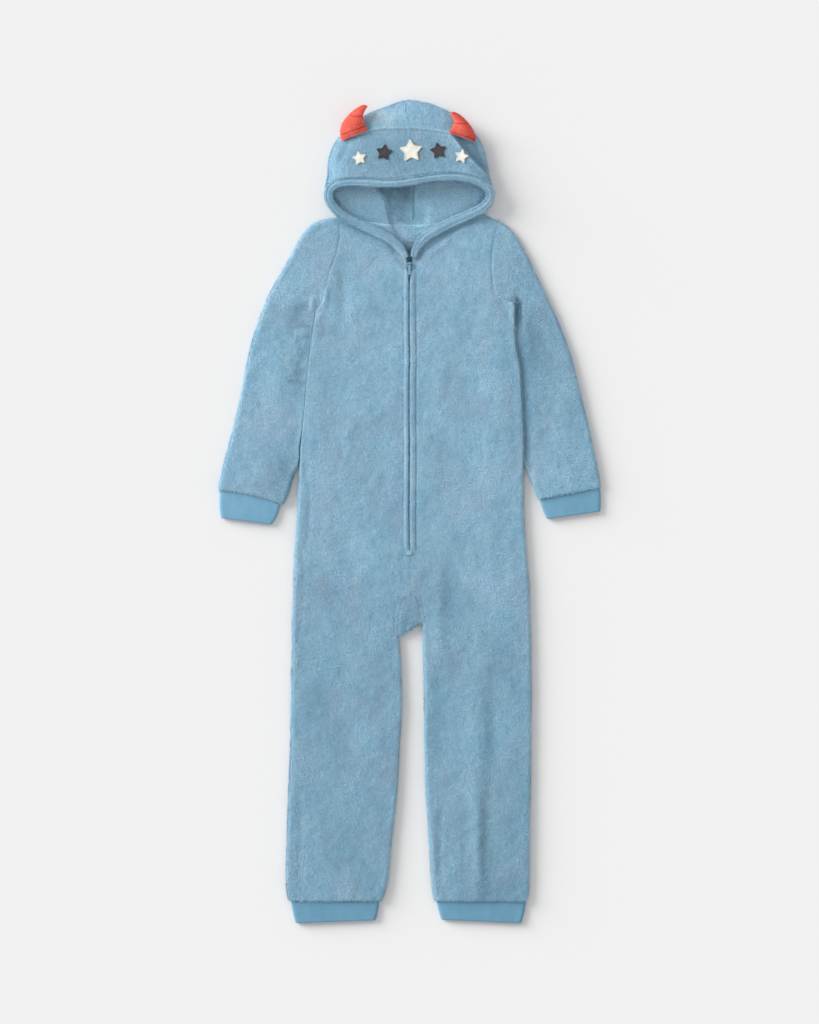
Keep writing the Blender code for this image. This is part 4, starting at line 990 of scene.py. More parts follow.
NECK_LINES = [fine(NECK_FRONT_RIGHT), fine(NECK_FRONT_LEFT)]
SIDES = {side: last_edge(table, ARMHOLE_END) for side, table in PANELS.items()}
ARMHOLES = {side: last_edge(table, 0, ARMHOLE_END) for side, table in PANELS.items()}
INSIDE_LEGS = np.concatenate([first_edge(PANEL_RIGHT, CROTCH)[::-1], fine(GUSSET_FOLD)[1:-1],
                              first_edge(PANEL_LEFT, CROTCH)])
OVERARMS = {
    "right": np.concatenate([[(-100.3, 428.1)], first_edge(SLEEVE_RIGHT)]),
    "left": np.concatenate([fine(NECK_FRONT_LEFT, 6), first_edge(SLEEVE_LEFT)]),
}
for side, table in SLEEVES.items():
    trunk_side, out = SIDES[side], TOWARD[side]
    for at in range(ARMHOLE_END + 1, len(table)):
        over_x, over_y, under_x, under_y = table[at]
        trunk = x_at(under_y, trunk_side)
        near = 1 - smooth((out * (under_x - trunk) - 2.2) / 2.5)
        table[at] = (over_x, over_y, under_x + near * (trunk - 0.5 * out - under_x), under_y)
UNDERARMS = {side: last_edge(table, ARMHOLE_END) for side, table in SLEEVES.items()}
ARCHES = {side: first_edge(table, ARCH_TOP, CROTCH) for side, table in PANELS.items()}
CENTRE_SEAM = np.array([(1.2, ZIP_END - 6), (1.6, -106.0), (1.8, -119.4)])
# Seams of the front, and how deep they lie
SEAM_LINES = [(ARMHOLES["right"], 0.3), (ARMHOLES["left"][:62], 0.45), (CENTRE_SEAM, 0.12),
              (ARCHES["right"], 0.35), (ARCHES["left"], 0.35)]
OUTLINE = fine(HOOD_OUTLINE)
BACK_NECK = np.concatenate([fine(NECK_BACK_RIGHT)[::-1], fine(NECK_BACK_LEFT)[1:]])
# Rows of stitches beside the gusset's seam
ARCH_STITCHES = [beside(ARCHES["right"], -5.0), beside(ARCHES["left"], 5.0)]
# The side seam comes round to the front at the hip. x, y
HIP_SEAM = fine([(-166.0, -40.0), (-157.0, -62.0), (-153.5, -95.0), (-155.5, -140.0), (-164.0, -190.0)])


def crease(xy, start, end, width, height, fade=0.25):
    """A soft ridge or valley from start to end, which fades in and out over a share of its length."""
    a, ab = np.array(start), np.subtract(end, start)
    t = ((xy - a) @ ab) / (ab @ ab)
    far = norm(a + np.clip(t, 0, 1)[:, None] * ab - xy)
    return height * hump(far, width) * span(t, 0, fade, 1, fade)


def front_lift(xy, d):
    """How much the front layers stand over their plain height: swell, folds, seams and zip lips."""
    x, y = xy.T
    up = CROWN * smooth(d / 55)
    for x1, y1, x2, y2, width, height in FOLDS:
        up += crease(xy, (x1, y1), (x2, y2), width, height, 0.3)
    for line, deep in SEAM_LINES:
        gap = distance(xy, line)
        up += deep * (0.45 * hump(gap - 4.2, 2.0) - hump(gap, 1.8))
    for line in ARCH_STITCHES:
        up -= 0.6 * hump(distance(xy, line), 1.5)
    up -= 0.5 * hump(distance(xy, HIP_SEAM), 2.2)
    # The trunk's left side stands up a little beside the arm
    up += 1.0 * hump(distance(xy, SIDES["left"]) - 4, 5) * span(y, 60, 60, 310, 30)
    across = x - middle_line(y)
    stitched = 0.7 * hump(across - ZIP_STITCHES[0], 1.1) + 1.2 * hump(across - ZIP_STITCHES[1], 1.0)
    up += smooth((y - ZIP_END) / 8) * (1.1 * hump(np.abs(across) - 4.2, 3.0) - stitched)
    neck = np.minimum(distance(xy, NECK_LINES[0]), distance(xy, NECK_LINES[1]))
    up += (-1.7 - up) * (1 - smooth((neck - 7.5) / 9)) * (y > 350)
    return up * smooth(d / 7)


# ---------------------------------------------------------------- plush pieces

EDGE = [0.0, 0.25, 0.74, 1.5, 2.75, 4.1, 5.5, 7.9]  # how far in from a fold a row has its points
EDGE_ZIP = [0.0, 0.35, 0.9, 1.6, 2.6, 3.8, 5.0, 6.1, 7.0, 7.8, 8.6, 9.3, 9.9, 10.5, 11.6]
EDGE_CUFF = [0.0, 0.2, 0.6, 1.25, 2.1, 3.1, 4.2]
HOOD_EDGE = [10, 8.4, 7, 5.7, 4.5, 3.4, 2.4, 1.6, 0.9, 0.4, 0.1, 0]  # the same from the hood's inside outward
TOUCH = 0.04  # room that is left at a seam, where the pile hides it
LIP_GAP = 0.2  # how much each folded edge beside the zip draws back from it


def panel_rows(cell):
    return spaced(PANEL_RIGHT, (0, ARCH_TOP, CROTCH, len(PANEL_RIGHT) - 1), cell)


def panel_plan(side, back, rows, middle, cell):
    """A panel's grid, from its middle edge to its side."""
    toward, table = TOWARD[side], np.array(PANELS[side])
    made = through(table, rows)
    upper = rows <= ARCH_TOP
    if back:
        table[: len(BACK_MIDDLE), 1] = BACK_MIDDLE
        made[upper, 1] = through(table, rows[upper])[:, 1]
        made[upper, 0] = middle_line(made[upper, 1])
    else:
        made[:, 0] += toward * np.interp(rows, [0, 0.5, 1, 2], [3.1, 3.4, 1.8, 0])
        made[:, 0] += toward * LIP_GAP * smooth((made[:, 1] - ZIP_END) / 14)
        shut = smooth((ZIP_END + 2 - made[:, 1]) / 6) * (1 - smooth((rows - ARCH_TOP) / 0.6))
        made[:, 0] += shut * (middle_line(made[:, 1]) + toward * TOUCH - made[:, 0])
    plan = stations(made[:, :2], made[:, 2:], middle, EDGE, cell)
    neck = fine(NECKS[side][back])
    neck = neck[(neck[:, 0] - plan[0][0][0]) * toward > 0.5]
    neck = np.concatenate([[plan[0][0]], neck[:-1], [plan[0][-1]]])
    return bend(plan, rows, neck, 6)


def off_corner(plan, side):
    """1 for the pile, and less where the shoulder's fold meets the armhole's seam."""
    return smooth(norm(plan - PANELS[side][0][2:]) / 5)


def off_floor(points):
    """How much pile an under side grows: none where it lies on the surface."""
    return 0.8 * smooth((points[..., 2] - 0.6) / 1.2)


def set_in(rows):
    """1 along a seam's upper part, as the armhole's is sewn in, and 0 below it."""
    return 1 - smooth((rows - 4.2) / 2)


def close_roll(xy):
    """How far in the cloth curves over: less where the trunk and the arms lie side by side."""
    gap = np.minimum(distance(xy, SIDES["right"]), distance(xy, SIDES["left"]))
    close = (1 - smooth((gap - 5) / 8)) * span(xy[:, 1], 30, 60, 322, 14)
    ends = np.array([SIDES["right"][0], SIDES["left"][0]])
    start = 1 - smooth(norm(xy[:, None] - ends).min(1) / 14)
    return ROLL - 3.2 * close - 1.7 * close * start


def make_front(side):
    cell = sizes().cell / MM
    rows = panel_rows(cell)
    plan = panel_plan(side, False, rows, EDGE_ZIP, cell)
    skins = layer(plan, [SIDES[side], INSIDE_LEGS, OVERARMS[side]], 1, PLUSH, SIDE_Z + SEAM / 2, RISE,
                  close_roll, front_lift)
    zipped = smooth((plan[:, 0, 1] - ZIP_END) / 4)
    middle = 1 - smooth((rows - CROTCH + 1.6) / 1.5)
    skins = rounded(skins, cut_gaps(plan, foot=True, start=zipped), least=0.3)
    skins = rounded(skins, cut_gaps(plan, start=middle * (1 - zipped)), least=0.93)
    skins = rounded(skins, cut_gaps(plan, end=set_in(rows)), least=0.8)
    sew(f"plush_front_{side}", f"front_{side}", [skins], [skins[0]])
    grow(f"front_{side}", skins[0], 1, share=off_corner(plan, side), nap=DOWN)


def make_back():
    cell = sizes().under_cell / MM
    rows = panel_rows(cell)
    halves = []
    for side in PANELS:
        plan = panel_plan(side, True, rows, EDGE, cell)
        skins = layer(plan, [SIDES[side], INSIDE_LEGS, OVERARMS[side]], -1, PLUSH,
                      SIDE_Z - SEAM / 2, SIDE_Z - SEAM / 2, ROLL, None, inner_fold)
        skins = rounded(skins, cut_gaps(plan, foot=True))
        grow("hood_inside", skins[1], 1, share=1.5 * smooth((plan[..., 1] - 366) / 8))
        half = [*skins, off_corner(plan, side)]
        halves.append([grid[:, ::-1] for grid in half] if side == "right" else half)
    for outer, _, corner in halves:
        grow("edges", outer, -1, share=off_floor(outer) * corner, nap=DOWN)
    cover = np.concatenate([half[0] for half in halves], axis=1)
    sew("plush_back", "back", [half[:2] for half in halves], [cover])


def make_gusset():
    """The gusset: its front half, the fold at the crotch and its back half."""
    start, end = GUSSET_ROWS
    arches = [[row[:2] for row in table] for table in PANELS.values()]
    rows = spaced(arches[0], GUSSET_ROWS, 2.4)
    right, left = (through(arch, rows) for arch in arches)
    plan = []
    for a, b, inset in zip(right, left, np.interp(rows, [start, 20, end], [0.1, 0.1, 0.3])):
        share = inset / math.dist(a, b)
        plan.append([a + (b - a) * t for t in np.linspace(share, 1 - share, GUSSET_COLUMNS)])
    fold = through(GUSSET_FOLD, np.linspace(0.02, 3.98, GUSSET_COLUMNS))
    last = np.array(plan[-1])
    plan += [last + (fold - last) * t for t in (0.2, 0.4, 0.6, 0.76, 0.88, 0.96, 1.0)]
    plan = np.array(plan)
    plan[0, :, 1] -= 0.1
    sewn = np.clip((len(plan) - 1 - np.arange(len(plan))) / 6, 0, 1)
    gaps = cut_gaps(plan, top=True, start=sewn, end=sewn)
    front = rounded(layer(plan, [INSIDE_LEGS], 1, PLUSH, SIDE_Z, RISE, ROLL, front_lift), gaps, least=0.93)
    behind = rounded(layer(plan, [INSIDE_LEGS], -1, PLUSH, SIDE_Z, SIDE_Z, ROLL), gaps, least=0.8)
    skins = [np.concatenate([f, b[-2::-1]]) for f, b in zip(front, behind)]
    sew("plush_gusset", "gusset", [skins], [skins[0]])
    grow("edges", front[0], 1)


def make_tube(name, node_name, plans, edges, wall, side_z, rise, roll, lift, look, sewn=None):
    """A flattened tube from the plan grids of its upper and under layer. Returns their outer skins."""
    grids = []
    for plan, side, high in zip(plans, (1, -1), (rise, side_z)):
        skins = layer(plan, edges, side, wall, side_z, high, roll, lift if side > 0 else None,
                      uneven=1.0 if look == PLUSH_LOOK else 0.0)
        skins = rounded(skins, cut_gaps(plan, foot=True), wall / 2)
        if sewn is not None:
            skins = rounded(skins, cut_gaps(plan, end=sewn), least=0.8)
        grids.append(skins if side > 0 else [skin[:, ::-1] for skin in skins])
    outer = [skins[0] for skins in grids]
    sew(name, node_name, grids, [np.concatenate(outer, axis=1)], look)
    return outer


def make_sleeve(side):
    cell, table = sizes().cell / MM, SLEEVES[side]
    rows = spaced(table, (0, ARMHOLE_END, len(table) - 1), cell)
    made = through(table, rows)
    hole = rows <= ARMHOLE_END
    panel = [row[2:] for row in PANELS[side]]
    made[hole, 2:] = through(panel, rows[hole]) + (TOWARD[side] * TOUCH, TOUCH)
    made[rows == ARMHOLE_END, 2:] = table[ARMHOLE_END][2:]
    plans = [stations(made[:, :2], made[:, 2:], EDGE, EDGE, c) for c in (cell, 3 * cell)]
    if side == "right":
        for plan in plans:
            bow(plan, smooth((rows - 15) / 4))
    low, close_z = {"right": (-0.3, 4.2), "left": (-2.5, 2.8)}[side]

    def fold_z(xy):
        """The arm's fold lies up against the trunk's."""
        return SIDE_Z + close_z * (1 - smooth((distance(xy, SIDES[side]) - 2) / 8))

    def rise(xy):
        return SIDE_Z + RISE - fold_z(xy)

    def lift(xy, d):
        near = 1 - smooth((distance(xy, SIDES[side]) - 3) / 17)
        folds = front_lift(xy, d) * (smooth(1.4 - near / 0.6) if side == "left" else 1)
        return folds + low * near * smooth((316 - xy[:, 1]) / 24) * smooth(d / 4)

    edges = [OVERARMS[side], UNDERARMS[side]]
    upper, under = make_tube(f"plush_sleeve_{side}", f"sleeve_{side}", plans, edges, PLUSH, fold_z, rise,
                             close_roll, lift, PLUSH_LOOK, set_in(rows))
    grow("sleeves", upper, 1, share=off_corner(plans[0], side))
    grow("sleeves", under, -1, share=off_floor(under) * off_corner(plans[1], side))


def make_cuff(name, table):
    made = through(table, spaced(table, (0, 2), 1.2))
    plans = [stations(made[:, :2], made[:, 2:], EDGE_CUFF, EDGE_CUFF, c) for c in (1.8, 5.0)]
    if name == "cuff_wrist_right":
        for plan in plans:
            bow(plan, np.linspace(1, 0, len(made)))
    longer = through(table, np.linspace(0, 2, 25))
    make_tube(f"jersey_{name}", name, plans, [longer[:, :2], longer[:, 2:]], JERSEY, CUFF_Z, 3.4, 4.2,
              lambda xy, d: 0.5 * smooth(d / 30) + 0.25 * ripple(xy, 17, 9) * smooth(d / 6), JERSEY_LOOK)


# ---------------------------------------------------------------- hood


def hood_side_z(xy):
    return np.interp(xy[:, 1], *zip(*HOOD_SIDE))


def hood_rise(xy):
    y = xy[:, 1]
    top = HOOD_TOP_OPENING + (HOOD_TOP_SEAM - HOOD_TOP_OPENING) * smooth((y - 484) / 75)
    top += (HOOD_TOP_END - HOOD_TOP_SEAM) * smooth((y - 552) / 45)
    return top - hood_side_z(xy)


def crown_seam(y):
    """x of the seam over the crown."""
    return np.interp(y, [555, 595], [1.6, -5.0])


def hood_lift(xy, d):
    """Seams and creases of the hood's upper layer."""
    x, y = xy.T
    seam = fine(BROW_SEAM)
    brow = distance(xy, seam)
    below = y < np.interp(x, seam[:, 0], seam[:, 1])
    up = 1.5 * hump(brow, 1.7) - 0.7 * below * hump(brow - 3.4, 1.6)
    crown = np.abs(x - crown_seam(y))
    up += smooth((y - 552) / 4) * (0.3 * hump(crown - 3.8, 2.0) - 0.8 * hump(crown, 1.7))
    off = 0.72 * (x - x_at(y, fine(BROW_RIDGE)))
    up += span(y, 480, 14, 553, 12) * (1.6 * hump(off, 3.4) - 5.0 * smooth(off / 9))
    for x1, y1, x2, y2, width, height in BROW_FOLDS:
        up += crease(xy, (x1, y1), (x2, y2), width, height)
    return up * smooth(d / 9)


def inner_fold(xy):
    """What the folds of the hood's sides add inside the face opening."""
    x, y = xy.T
    inside = smooth((distance(xy, OUTLINE) - 9) / 8) * smooth((515 - y) / 30)
    hem = through(HEM, np.linspace(0, len(HEM) - 1, 120))[:, :2]
    under = np.where(y < 432, 1 - smooth((distance(xy, hem) - 2.5) / 4), 0.0)
    up = np.zeros(len(xy))
    for side, toward in TOWARD.items():
        height, soft = FOLD_HEIGHT[side]
        up = np.maximum(up, height * smooth(toward * (x - x_at(y, fine(INNER_FOLD[side]))) / soft))
    # The seam at the centre of the hood's back: its allowance makes a ridge with a steep side
    across = x - 4.2
    up += 1.7 * smooth(-across / 1.2) * smooth((across + 9) / 8) * smooth((y - 420) / 6)
    return up * inside * (1 - under) * smooth((y - 366) / 10)


def hood_upper(plan):
    return layer(plan, [OUTLINE], 1, PLUSH, hood_side_z, hood_rise, HOOD_ROLL_FRONT, hood_lift)


def upper_z(points):
    """Height of the hood's upper layer at plan points."""
    return hood_upper(np.array(points, float)[None])[0][0, :, 2]


def brow_station(columns):
    """Row numbers of the brow seam where stations of the hood's outline meet it."""
    return np.interp(columns, [SEAM_END_RIGHT, HOOD_TOP, SEAM_END_LEFT], [0, 5, 10])


def make_hood_half(side):
    """Half of the hood: its back, and past the fold at the top its crown as far as the brow seam."""
    if side == "right":
        first, seam, last, counts = 0, SEAM_END_RIGHT, HOOD_TOP, (43, 53)
        centre, end, seam_end = -1, 0, "end"
    else:
        first, seam, last, counts = HOOD_TOP, SEAM_END_LEFT, HOOD_LAST, (53, 43)
        centre, end, seam_end = 0, -1, "start"
    columns = np.concatenate([np.linspace(first, seam, counts[0]), np.linspace(seam, last, counts[1])[1:]])
    over = columns >= seam if side == "right" else columns <= seam
    edge = through(HOOD_OUTLINE, columns)
    ends = [0, SEAM_END_RIGHT, HOOD_TOP, SEAM_END_LEFT, HOOD_LAST]
    neck = through(HOOD_NECK, np.interp(columns, ends, [0, 2.4, 5, 7.6, 10]))
    neck[:, 1] = np.interp(neck[:, 0], BACK_NECK[:, 0], BACK_NECK[:, 1]) + 2 * TOUCH
    reach = norm(edge - neck)[:, None]
    plan = [neck + (edge - neck) * t * (reach - HOOD_ROLL_BACK) / reach for t in np.linspace(0, 1, 44)]
    plan += [edge + (neck - edge) * short / reach for short in HOOD_EDGE]
    plan = np.array(plan)
    plan[:, centre, 0] += TOWARD[side] * TOUCH
    back = layer(plan, [OUTLINE], -1, PLUSH, hood_side_z, hood_side_z, HOOD_ROLL_BACK, None, inner_fold)
    back = rounded(back, cut_gaps(plan, **{seam_end: np.ones(len(plan))}), least=0.97)
    brow = through(BROW_SEAM, brow_station(columns[over]))
    brow[:, 1] += TOUCH
    fold = plan[-1][over]
    brow[centre, 0] = fold[centre, 0]
    brow[end] = fold[end]
    crown = np.array([fold + (brow - fold) * t for t in np.linspace(0, 1, 24) ** 1.7])
    gaps = cut_gaps(crown, **{seam_end: np.ones(len(crown))})
    foot = norm(crown - crown[-1:]) + np.where(crown[:1] == crown[-1:], 9, 0)[..., 0]
    front = rounded(hood_upper(crown), np.minimum(gaps, foot), least=0.8)
    sew(f"plush_hood_{side}", f"hood_{side}", [back, front], [back[0], front[0]],
        step=1)
    grow("hood", front[0], 1)
    grow("hood", back[0], -1, share=off_floor(back[0]))
    seen = smooth((plan[..., 1] - 372) / 6) * (1 - smooth((plan[..., 1] - 500) / 25))
    grow("hood_inside", back[1], 1, share=seen)


def hem_frame(at):
    """Rows of the hem's table, and the unit vectors out to its side and up from it."""
    here, ahead, behind = (through(HEM, at + k) for k in (0, 0.05, -0.05))
    heading = unit((ahead - behind)[:, :3])
    out = unit(np.cross((0, 0, 1), heading))
    return here, out, np.cross(heading, out)


def hem_side(at, past):
    """Points beside the hem's middle line, a little past half its width."""
    here, out, _ = hem_frame(at)
    return here[:, :2] + out[:, :2] * (here[:, 3:4] / 2 + past)


def within(xy, outline):
    """Which plan points lie inside a closed outline."""
    a, b = outline, np.roll(outline, -1, axis=0)
    x, y = xy[:, 0, None], xy[:, 1, None]
    spans = (a[:, 1] > y) != (b[:, 1] > y)
    cut = a[:, 0] + (y - a[:, 1]) / np.where(a[:, 1] == b[:, 1], 1, b[:, 1] - a[:, 1]) * (b[:, 0] - a[:, 0])
    return (spans & (x < cut)).sum(1) % 2 == 1


def horn_outline(table):
    rows = fine(table)
    return np.concatenate([rows[:, :2], rows[::-1, 2:4]])


def bare(points):
    """1 where the brow and crown show, 0 under the stars and horns."""
    xy = points[..., :2].reshape(-1, 2)
    hidden = within(xy, horn_outline(HORN_RIGHT)) | within(xy, horn_outline(HORN_LEFT))
    for x, y, radius, turn, _ in STARS:
        hidden |= within(xy, star_outline(radius + 0.6, turn) + (x, y))
    return 1.0 - hidden.reshape(points.shape[:2])


def make_brow():
    """The hood's front band, from the brow seam to the hem of the face opening."""
    even = np.linspace(0, 1, 97)
    stops = even - 0.9 * np.sin(2 * math.pi * even) / (2 * math.pi)
    top = through(BROW_SEAM, 10 * stops)
    share = running(norm(np.diff(top, axis=0)))
    share /= share[-1]
    top[1:-1, 1] -= TOUCH
    rows = 45
    knots = np.linspace(0, 6, rows)
    right = through(HOOD_OUTLINE, np.interp(knots, range(7), [BAND_RIGHT[0] - 0.05, *BAND_RIGHT[1:]]))
    left = through(HOOD_OUTLINE, np.interp(knots, range(7), [BAND_LEFT[0] + 0.05, *BAND_LEFT[1:]]))
    top[0], top[-1] = right[0], left[0]
    low = hem_side(np.linspace(8.4, 18.6, 121), 0.2)
    low = along(np.concatenate([right[-1:], low, left[-1:]]), share)
    u, v = share[None, :, None], np.linspace(0, 1, rows)[:, None, None]
    plan = (1 - v) * top[None] + v * low[None] + (1 - u) * right[:, None] + u * left[:, None]
    plan -= (1 - v) * ((1 - u) * top[0] + u * top[-1]) + v * ((1 - u) * low[0] + u * low[-1])
    edge_on = 6 * (1 - smooth(np.minimum(share, 1 - share) / 0.04))
    skins = rounded(hood_upper(plan), cut_gaps(plan, top=True) + edge_on, least=0.8)
    skins = rounded(skins, cut_gaps(plan, foot=True) + edge_on, least=0.5)
    sew("plush_hood_brow", "hood_brow", [skins], [skins[0]], step=1)
    grow("hood", skins[0], 1)


def ring_faces(count, ring):
    """Faces of a closed tube through rings of points, with its two ends."""
    faces = []
    for i in range(count - 1):
        for k in range(ring):
            n = (k + 1) % ring
            faces.append((i * ring + k, i * ring + n, (i + 1) * ring + n, (i + 1) * ring + k))
    return faces + [tuple(range(ring)), tuple((count - 1) * ring + k for k in range(ring))]


def hem_rings(at, ring):
    """Points round the folded hem, how far out of its middle they lie, and how near its rows of stitches."""
    here, out, up = hem_frame(at)
    half = here[:, None, 3] / 2
    angle = np.linspace(0, 2 * math.pi, ring, endpoint=False)
    c, s = np.cos(angle), np.sin(angle)
    c, s = np.sign(c) * np.abs(c) ** 0.8, np.sign(s) * np.abs(s) ** 0.5
    near = [hump(side * c * half - half + 3.3, 0.9) for side in (1, -1)]
    # A row of stitches near each side presses the hem down
    pressed = 1 - (0.34 * near[0] + 0.22 * near[1]) * (s > 0)
    way = out[:, None] * (c[:, None] * here[:, None, 3:4])
    way = way + up[:, None] * ((s * pressed)[..., None] * here[:, None, 4:5])
    uneven = 1 + 0.05 * ripple(here[:, :2], 21, 14) + 0.03 * ripple(here[:, :2], 8, 15)
    return here[:, None, :3] + way / 2 * uneven[:, None, None], way, near


def make_hem():
    """The hem: one flattened fold of cloth swept round the face opening."""
    at, ring = np.linspace(0, len(HEM) - 1, 281), 44
    points, way, near = hem_rings(at, ring)
    piece = add_mesh("plush_hood_hem", points.reshape(-1, 3), ring_faces(len(at), ring), PLUSH_LOOK)
    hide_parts("hood_hem")
    normal = unit(closed(way))
    shows = closed(np.clip(1 - 0.9 * near[0] - 0.6 * near[1], 0, 1))
    grow("hood", closed(points), share=shows * smooth((normal[..., 2] + 0.5) / 0.4), normals=normal)


# ---------------------------------------------------------------- horns and stars


def across_horn(angle):
    """0 at a horn's outer side and 1 at its inner side, at an angle round it."""
    return 0.5 - 0.5 * np.cos(angle)


def horn_rings(table, rows, ring):
    """Rings of points round a stuffed horn that lies on the crown."""
    made = through(table, rows)
    angle = np.linspace(0, 2 * math.pi, ring, endpoint=False)
    share = across_horn(angle)
    spot = made[:, None, :2] + (made[:, None, 2:4] - made[:, None, :2]) * share[:, None]
    level = HORN_LIFT[0] + (HORN_LIFT[1] - HORN_LIFT[0]) * share
    tall = np.sin(angle) * made[:, 4:5] * np.where(np.sin(angle) > 0, 1.25, 0.75)
    least = upper_z(spot.reshape(-1, 2)).reshape(tall.shape) + 0.45
    z = np.maximum(level + tall, least + np.where(tall < 0, 0.0, 1.0 + tall))
    return np.concatenate([spot, z[..., None]], axis=2)


def make_horn(side):
    table, rows, ring, around = HORNS[side], np.linspace(0, 6, 49), 40, 96
    points = horn_rings(table, rows, ring)
    centre = points.mean(1, keepdims=True)
    flat = points.reshape(-1, 3)[:, :2] + 400
    puff = 0.02 * ripple(flat, 9, 21) + 0.012 * ripple(flat, 4, 22)
    share = across_horn(np.linspace(0, 2 * math.pi, ring, endpoint=False))
    seen = across_horn(np.linspace(0, 2 * math.pi, around, endpoint=False))
    each, lines = np.arange(around), []
    for outer, inner in HORN_QUILTING[side]:
        puff -= 0.05 * hump(rows[:, None] - (outer + (inner - outer) * share), 0.15).ravel()
        line = horn_rings(table, outer + (inner - outer) * seen, around)[each, each]
        lines.append(stitch_row(line[3:46] + (0, 0, 0.1), 2.2, 0.9))
    points = centre + (points - centre) * (1 + puff.reshape(len(rows), ring, 1))
    piece = add_mesh(f"fleece_horn_{side}", points.reshape(-1, 3), ring_faces(len(rows), ring), HORN_LOOK)
    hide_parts(f"horn_{side}")
    normal = closed(points) - centre
    normal[..., 2] *= 2.0
    normal = unit(normal)
    grow("horns", closed(points), share=smooth((normal[..., 2] + 0.6) / 0.4), normals=normal)
    add_stitches(f"horn_stitching_{side}", np.concatenate(lines), 0.36, HORN_THREAD_LOOK)


def star_outline(radius, turn):
    """Outline of a five-pointed star round the origin, its points a little rounded."""
    reach = np.where(np.arange(11) % 2 == 0, 1.0, 0.52) * radius
    angle = np.radians(90 + turn + 36 * np.arange(11))
    corners = np.column_stack([np.cos(angle) * reach, np.sin(angle) * reach])
    shares = np.linspace(0, 1, 8, endpoint=False)[:, None]
    line = np.concatenate([a + (b - a) * shares for a, b in zip(corners[:-1], corners[1:])])
    for _ in range(2):
        line = (np.roll(line, 1, axis=0) + 2 * line + np.roll(line, -1, axis=0)) / 4
    return line


def make_star(number, x, y, radius, turn, dark):
    edge = star_outline(radius, turn)
    count, rings = len(edge), len(STAR_RINGS)
    spots = np.concatenate([[(0.0, 0.0)], *(edge * share for share in STAR_RINGS)]) + (x, y)
    reach = np.concatenate([[0.0], np.repeat(STAR_RINGS, count)])
    low = upper_z(spots) + STAR_GAP
    top = low + STAR_THICK + 0.35 * (1 - reach**2) - 0.45 * smooth((reach - 0.86) / 0.14)
    total, faces = len(spots), []
    for k in range(count):
        n = (k + 1) % count
        faces.append((0, 1 + k, 1 + n))
        for a in range(1, 1 + (rings - 1) * count, count):
            faces.append((a + k, a + count + k, a + count + n, a + n))
    under = [tuple(v + total for v in reversed(f)) for f in faces]
    rim = 1 + (rings - 1) * count
    walls = []
    for k in range(rim, rim + count):
        n = rim + (k + 1 - rim) % count
        walls.append((n, k, k + total, n + total))
    points = np.concatenate([np.column_stack([spots, top]), np.column_stack([spots, low])])
    look = DARK_STAR_LOOK if dark else LIGHT_STAR_LOOK
    piece = add_mesh(f"star_{number}_applique", points, faces + under + walls, look)
    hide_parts(f"star_{number}")
    line = np.concatenate([edge, edge[:1]])
    middle = along(line, np.linspace(0, 1, int(line_length(line) / 0.55), endpoint=False))
    ahead = np.roll(middle, -1, axis=0) - np.roll(middle, 1, axis=0)
    out = unit(np.column_stack([ahead[:, 1], -ahead[:, 0]]))
    ends = []
    for past, height in ((-1.5, STAR_THICK + 0.2), (0.5, 0.75)):
        spot = middle + out * past + (x, y)
        ends.append(np.column_stack([spot, upper_z(spot) + STAR_GAP + height]))
    add_stitches(f"star_{number}_edging", np.stack(ends, 1), 0.3, look, 0.35)


# ---------------------------------------------------------------- zip and stitching


def tape_level(y):
    """Height of the zip tapes' upper face."""
    return np.interp(y, *zip(*ZIP_TAPE_TOP[::-1]))


def make_zip_tapes():
    """Woven tapes with the nylon coil between them, under the folded edges of the front."""
    ys = np.linspace(*ZIP_REACH, 103)
    for side, toward in TOWARD.items():
        rows = [np.column_stack([middle_line(ys) + toward * across, ys, tape_level(ys)])
                for across in np.linspace(0.35, 0.35 + ZIP_TAPE, 9)]
        top = np.stack(rows, 1)
        sew(f"zip_tape_woven_{side}", f"zip_tape_{side}", [(top, top - (0, 0, ZIP_TAPE_THICK))], [top],
            TAPE_LOOK, step=1)


def make_coil():
    """The coil: a tooth of nylon at each turn, from either side in turn."""
    ys = np.arange(ZIP_END + 1.0, 351.5, sizes().coil_pitch / MM / 2)
    side = np.where(np.arange(len(ys)) % 2, 1, -1)
    z = tape_level(ys) + 0.55
    spans = np.stack([np.column_stack([middle_line(ys) + side * out, ys, z]) for out in (2.2, -0.7)], 1)
    add_stitches("zip_coil", spans, 0.5, COIL_LOOK, 0.35, sides=8)


def stitch_row(line, pitch, share=0.62):
    """Stitches along a line of points, as pairs of ends."""
    count = max(1, int(round(line_length(line) / pitch)))
    middle = (np.arange(count) + 0.5) / count
    half = share / 2 / count
    return np.stack([along(line, middle - half), along(line, middle + half)], 1)


def add_stitches(name, spans, radius, look, arch=0.12, sides=5):
    """Thread that shows between pairs of ends, a little arched."""
    a, b = spans[:, 0], spans[:, 1]
    way = unit(b - a, 1e-6)
    out = unit(np.cross(way, (0, 0, 1.0)), 1e-6)
    up = np.cross(out, way)
    angle = np.linspace(0, 2 * math.pi, sides, endpoint=False)[:, None]
    rings = []
    for share, girth, rise in ((0, 0.4, 0), (0.25, 0.95, 0.8), (0.75, 0.95, 0.8), (1, 0.4, 0)):
        centre = a + (b - a) * share + up * arch * rise
        round_it = out[:, None] * np.cos(angle) + up[:, None] * np.sin(angle)
        rings.append(centre[:, None] + radius * girth * round_it)
    points = np.stack(rings, 1).reshape(-1, 3)
    one = ring_faces(len(rings), sides)
    faces = [tuple(v + len(rings) * sides * k for v in face) for k in range(len(spans)) for face in one]
    add_mesh(name, points, faces, look)


def on_front(line, above):
    """Points on the front layers over a line of the plan."""
    line = np.asarray(line, float)
    edges = [SIDES["right"], SIDES["left"], INSIDE_LEGS]
    outer = layer(line[None], edges, 1, PLUSH, SIDE_Z + SEAM / 2, RISE, ROLL, front_lift)[0][0]
    return np.column_stack([line, outer[:, 2] + above])


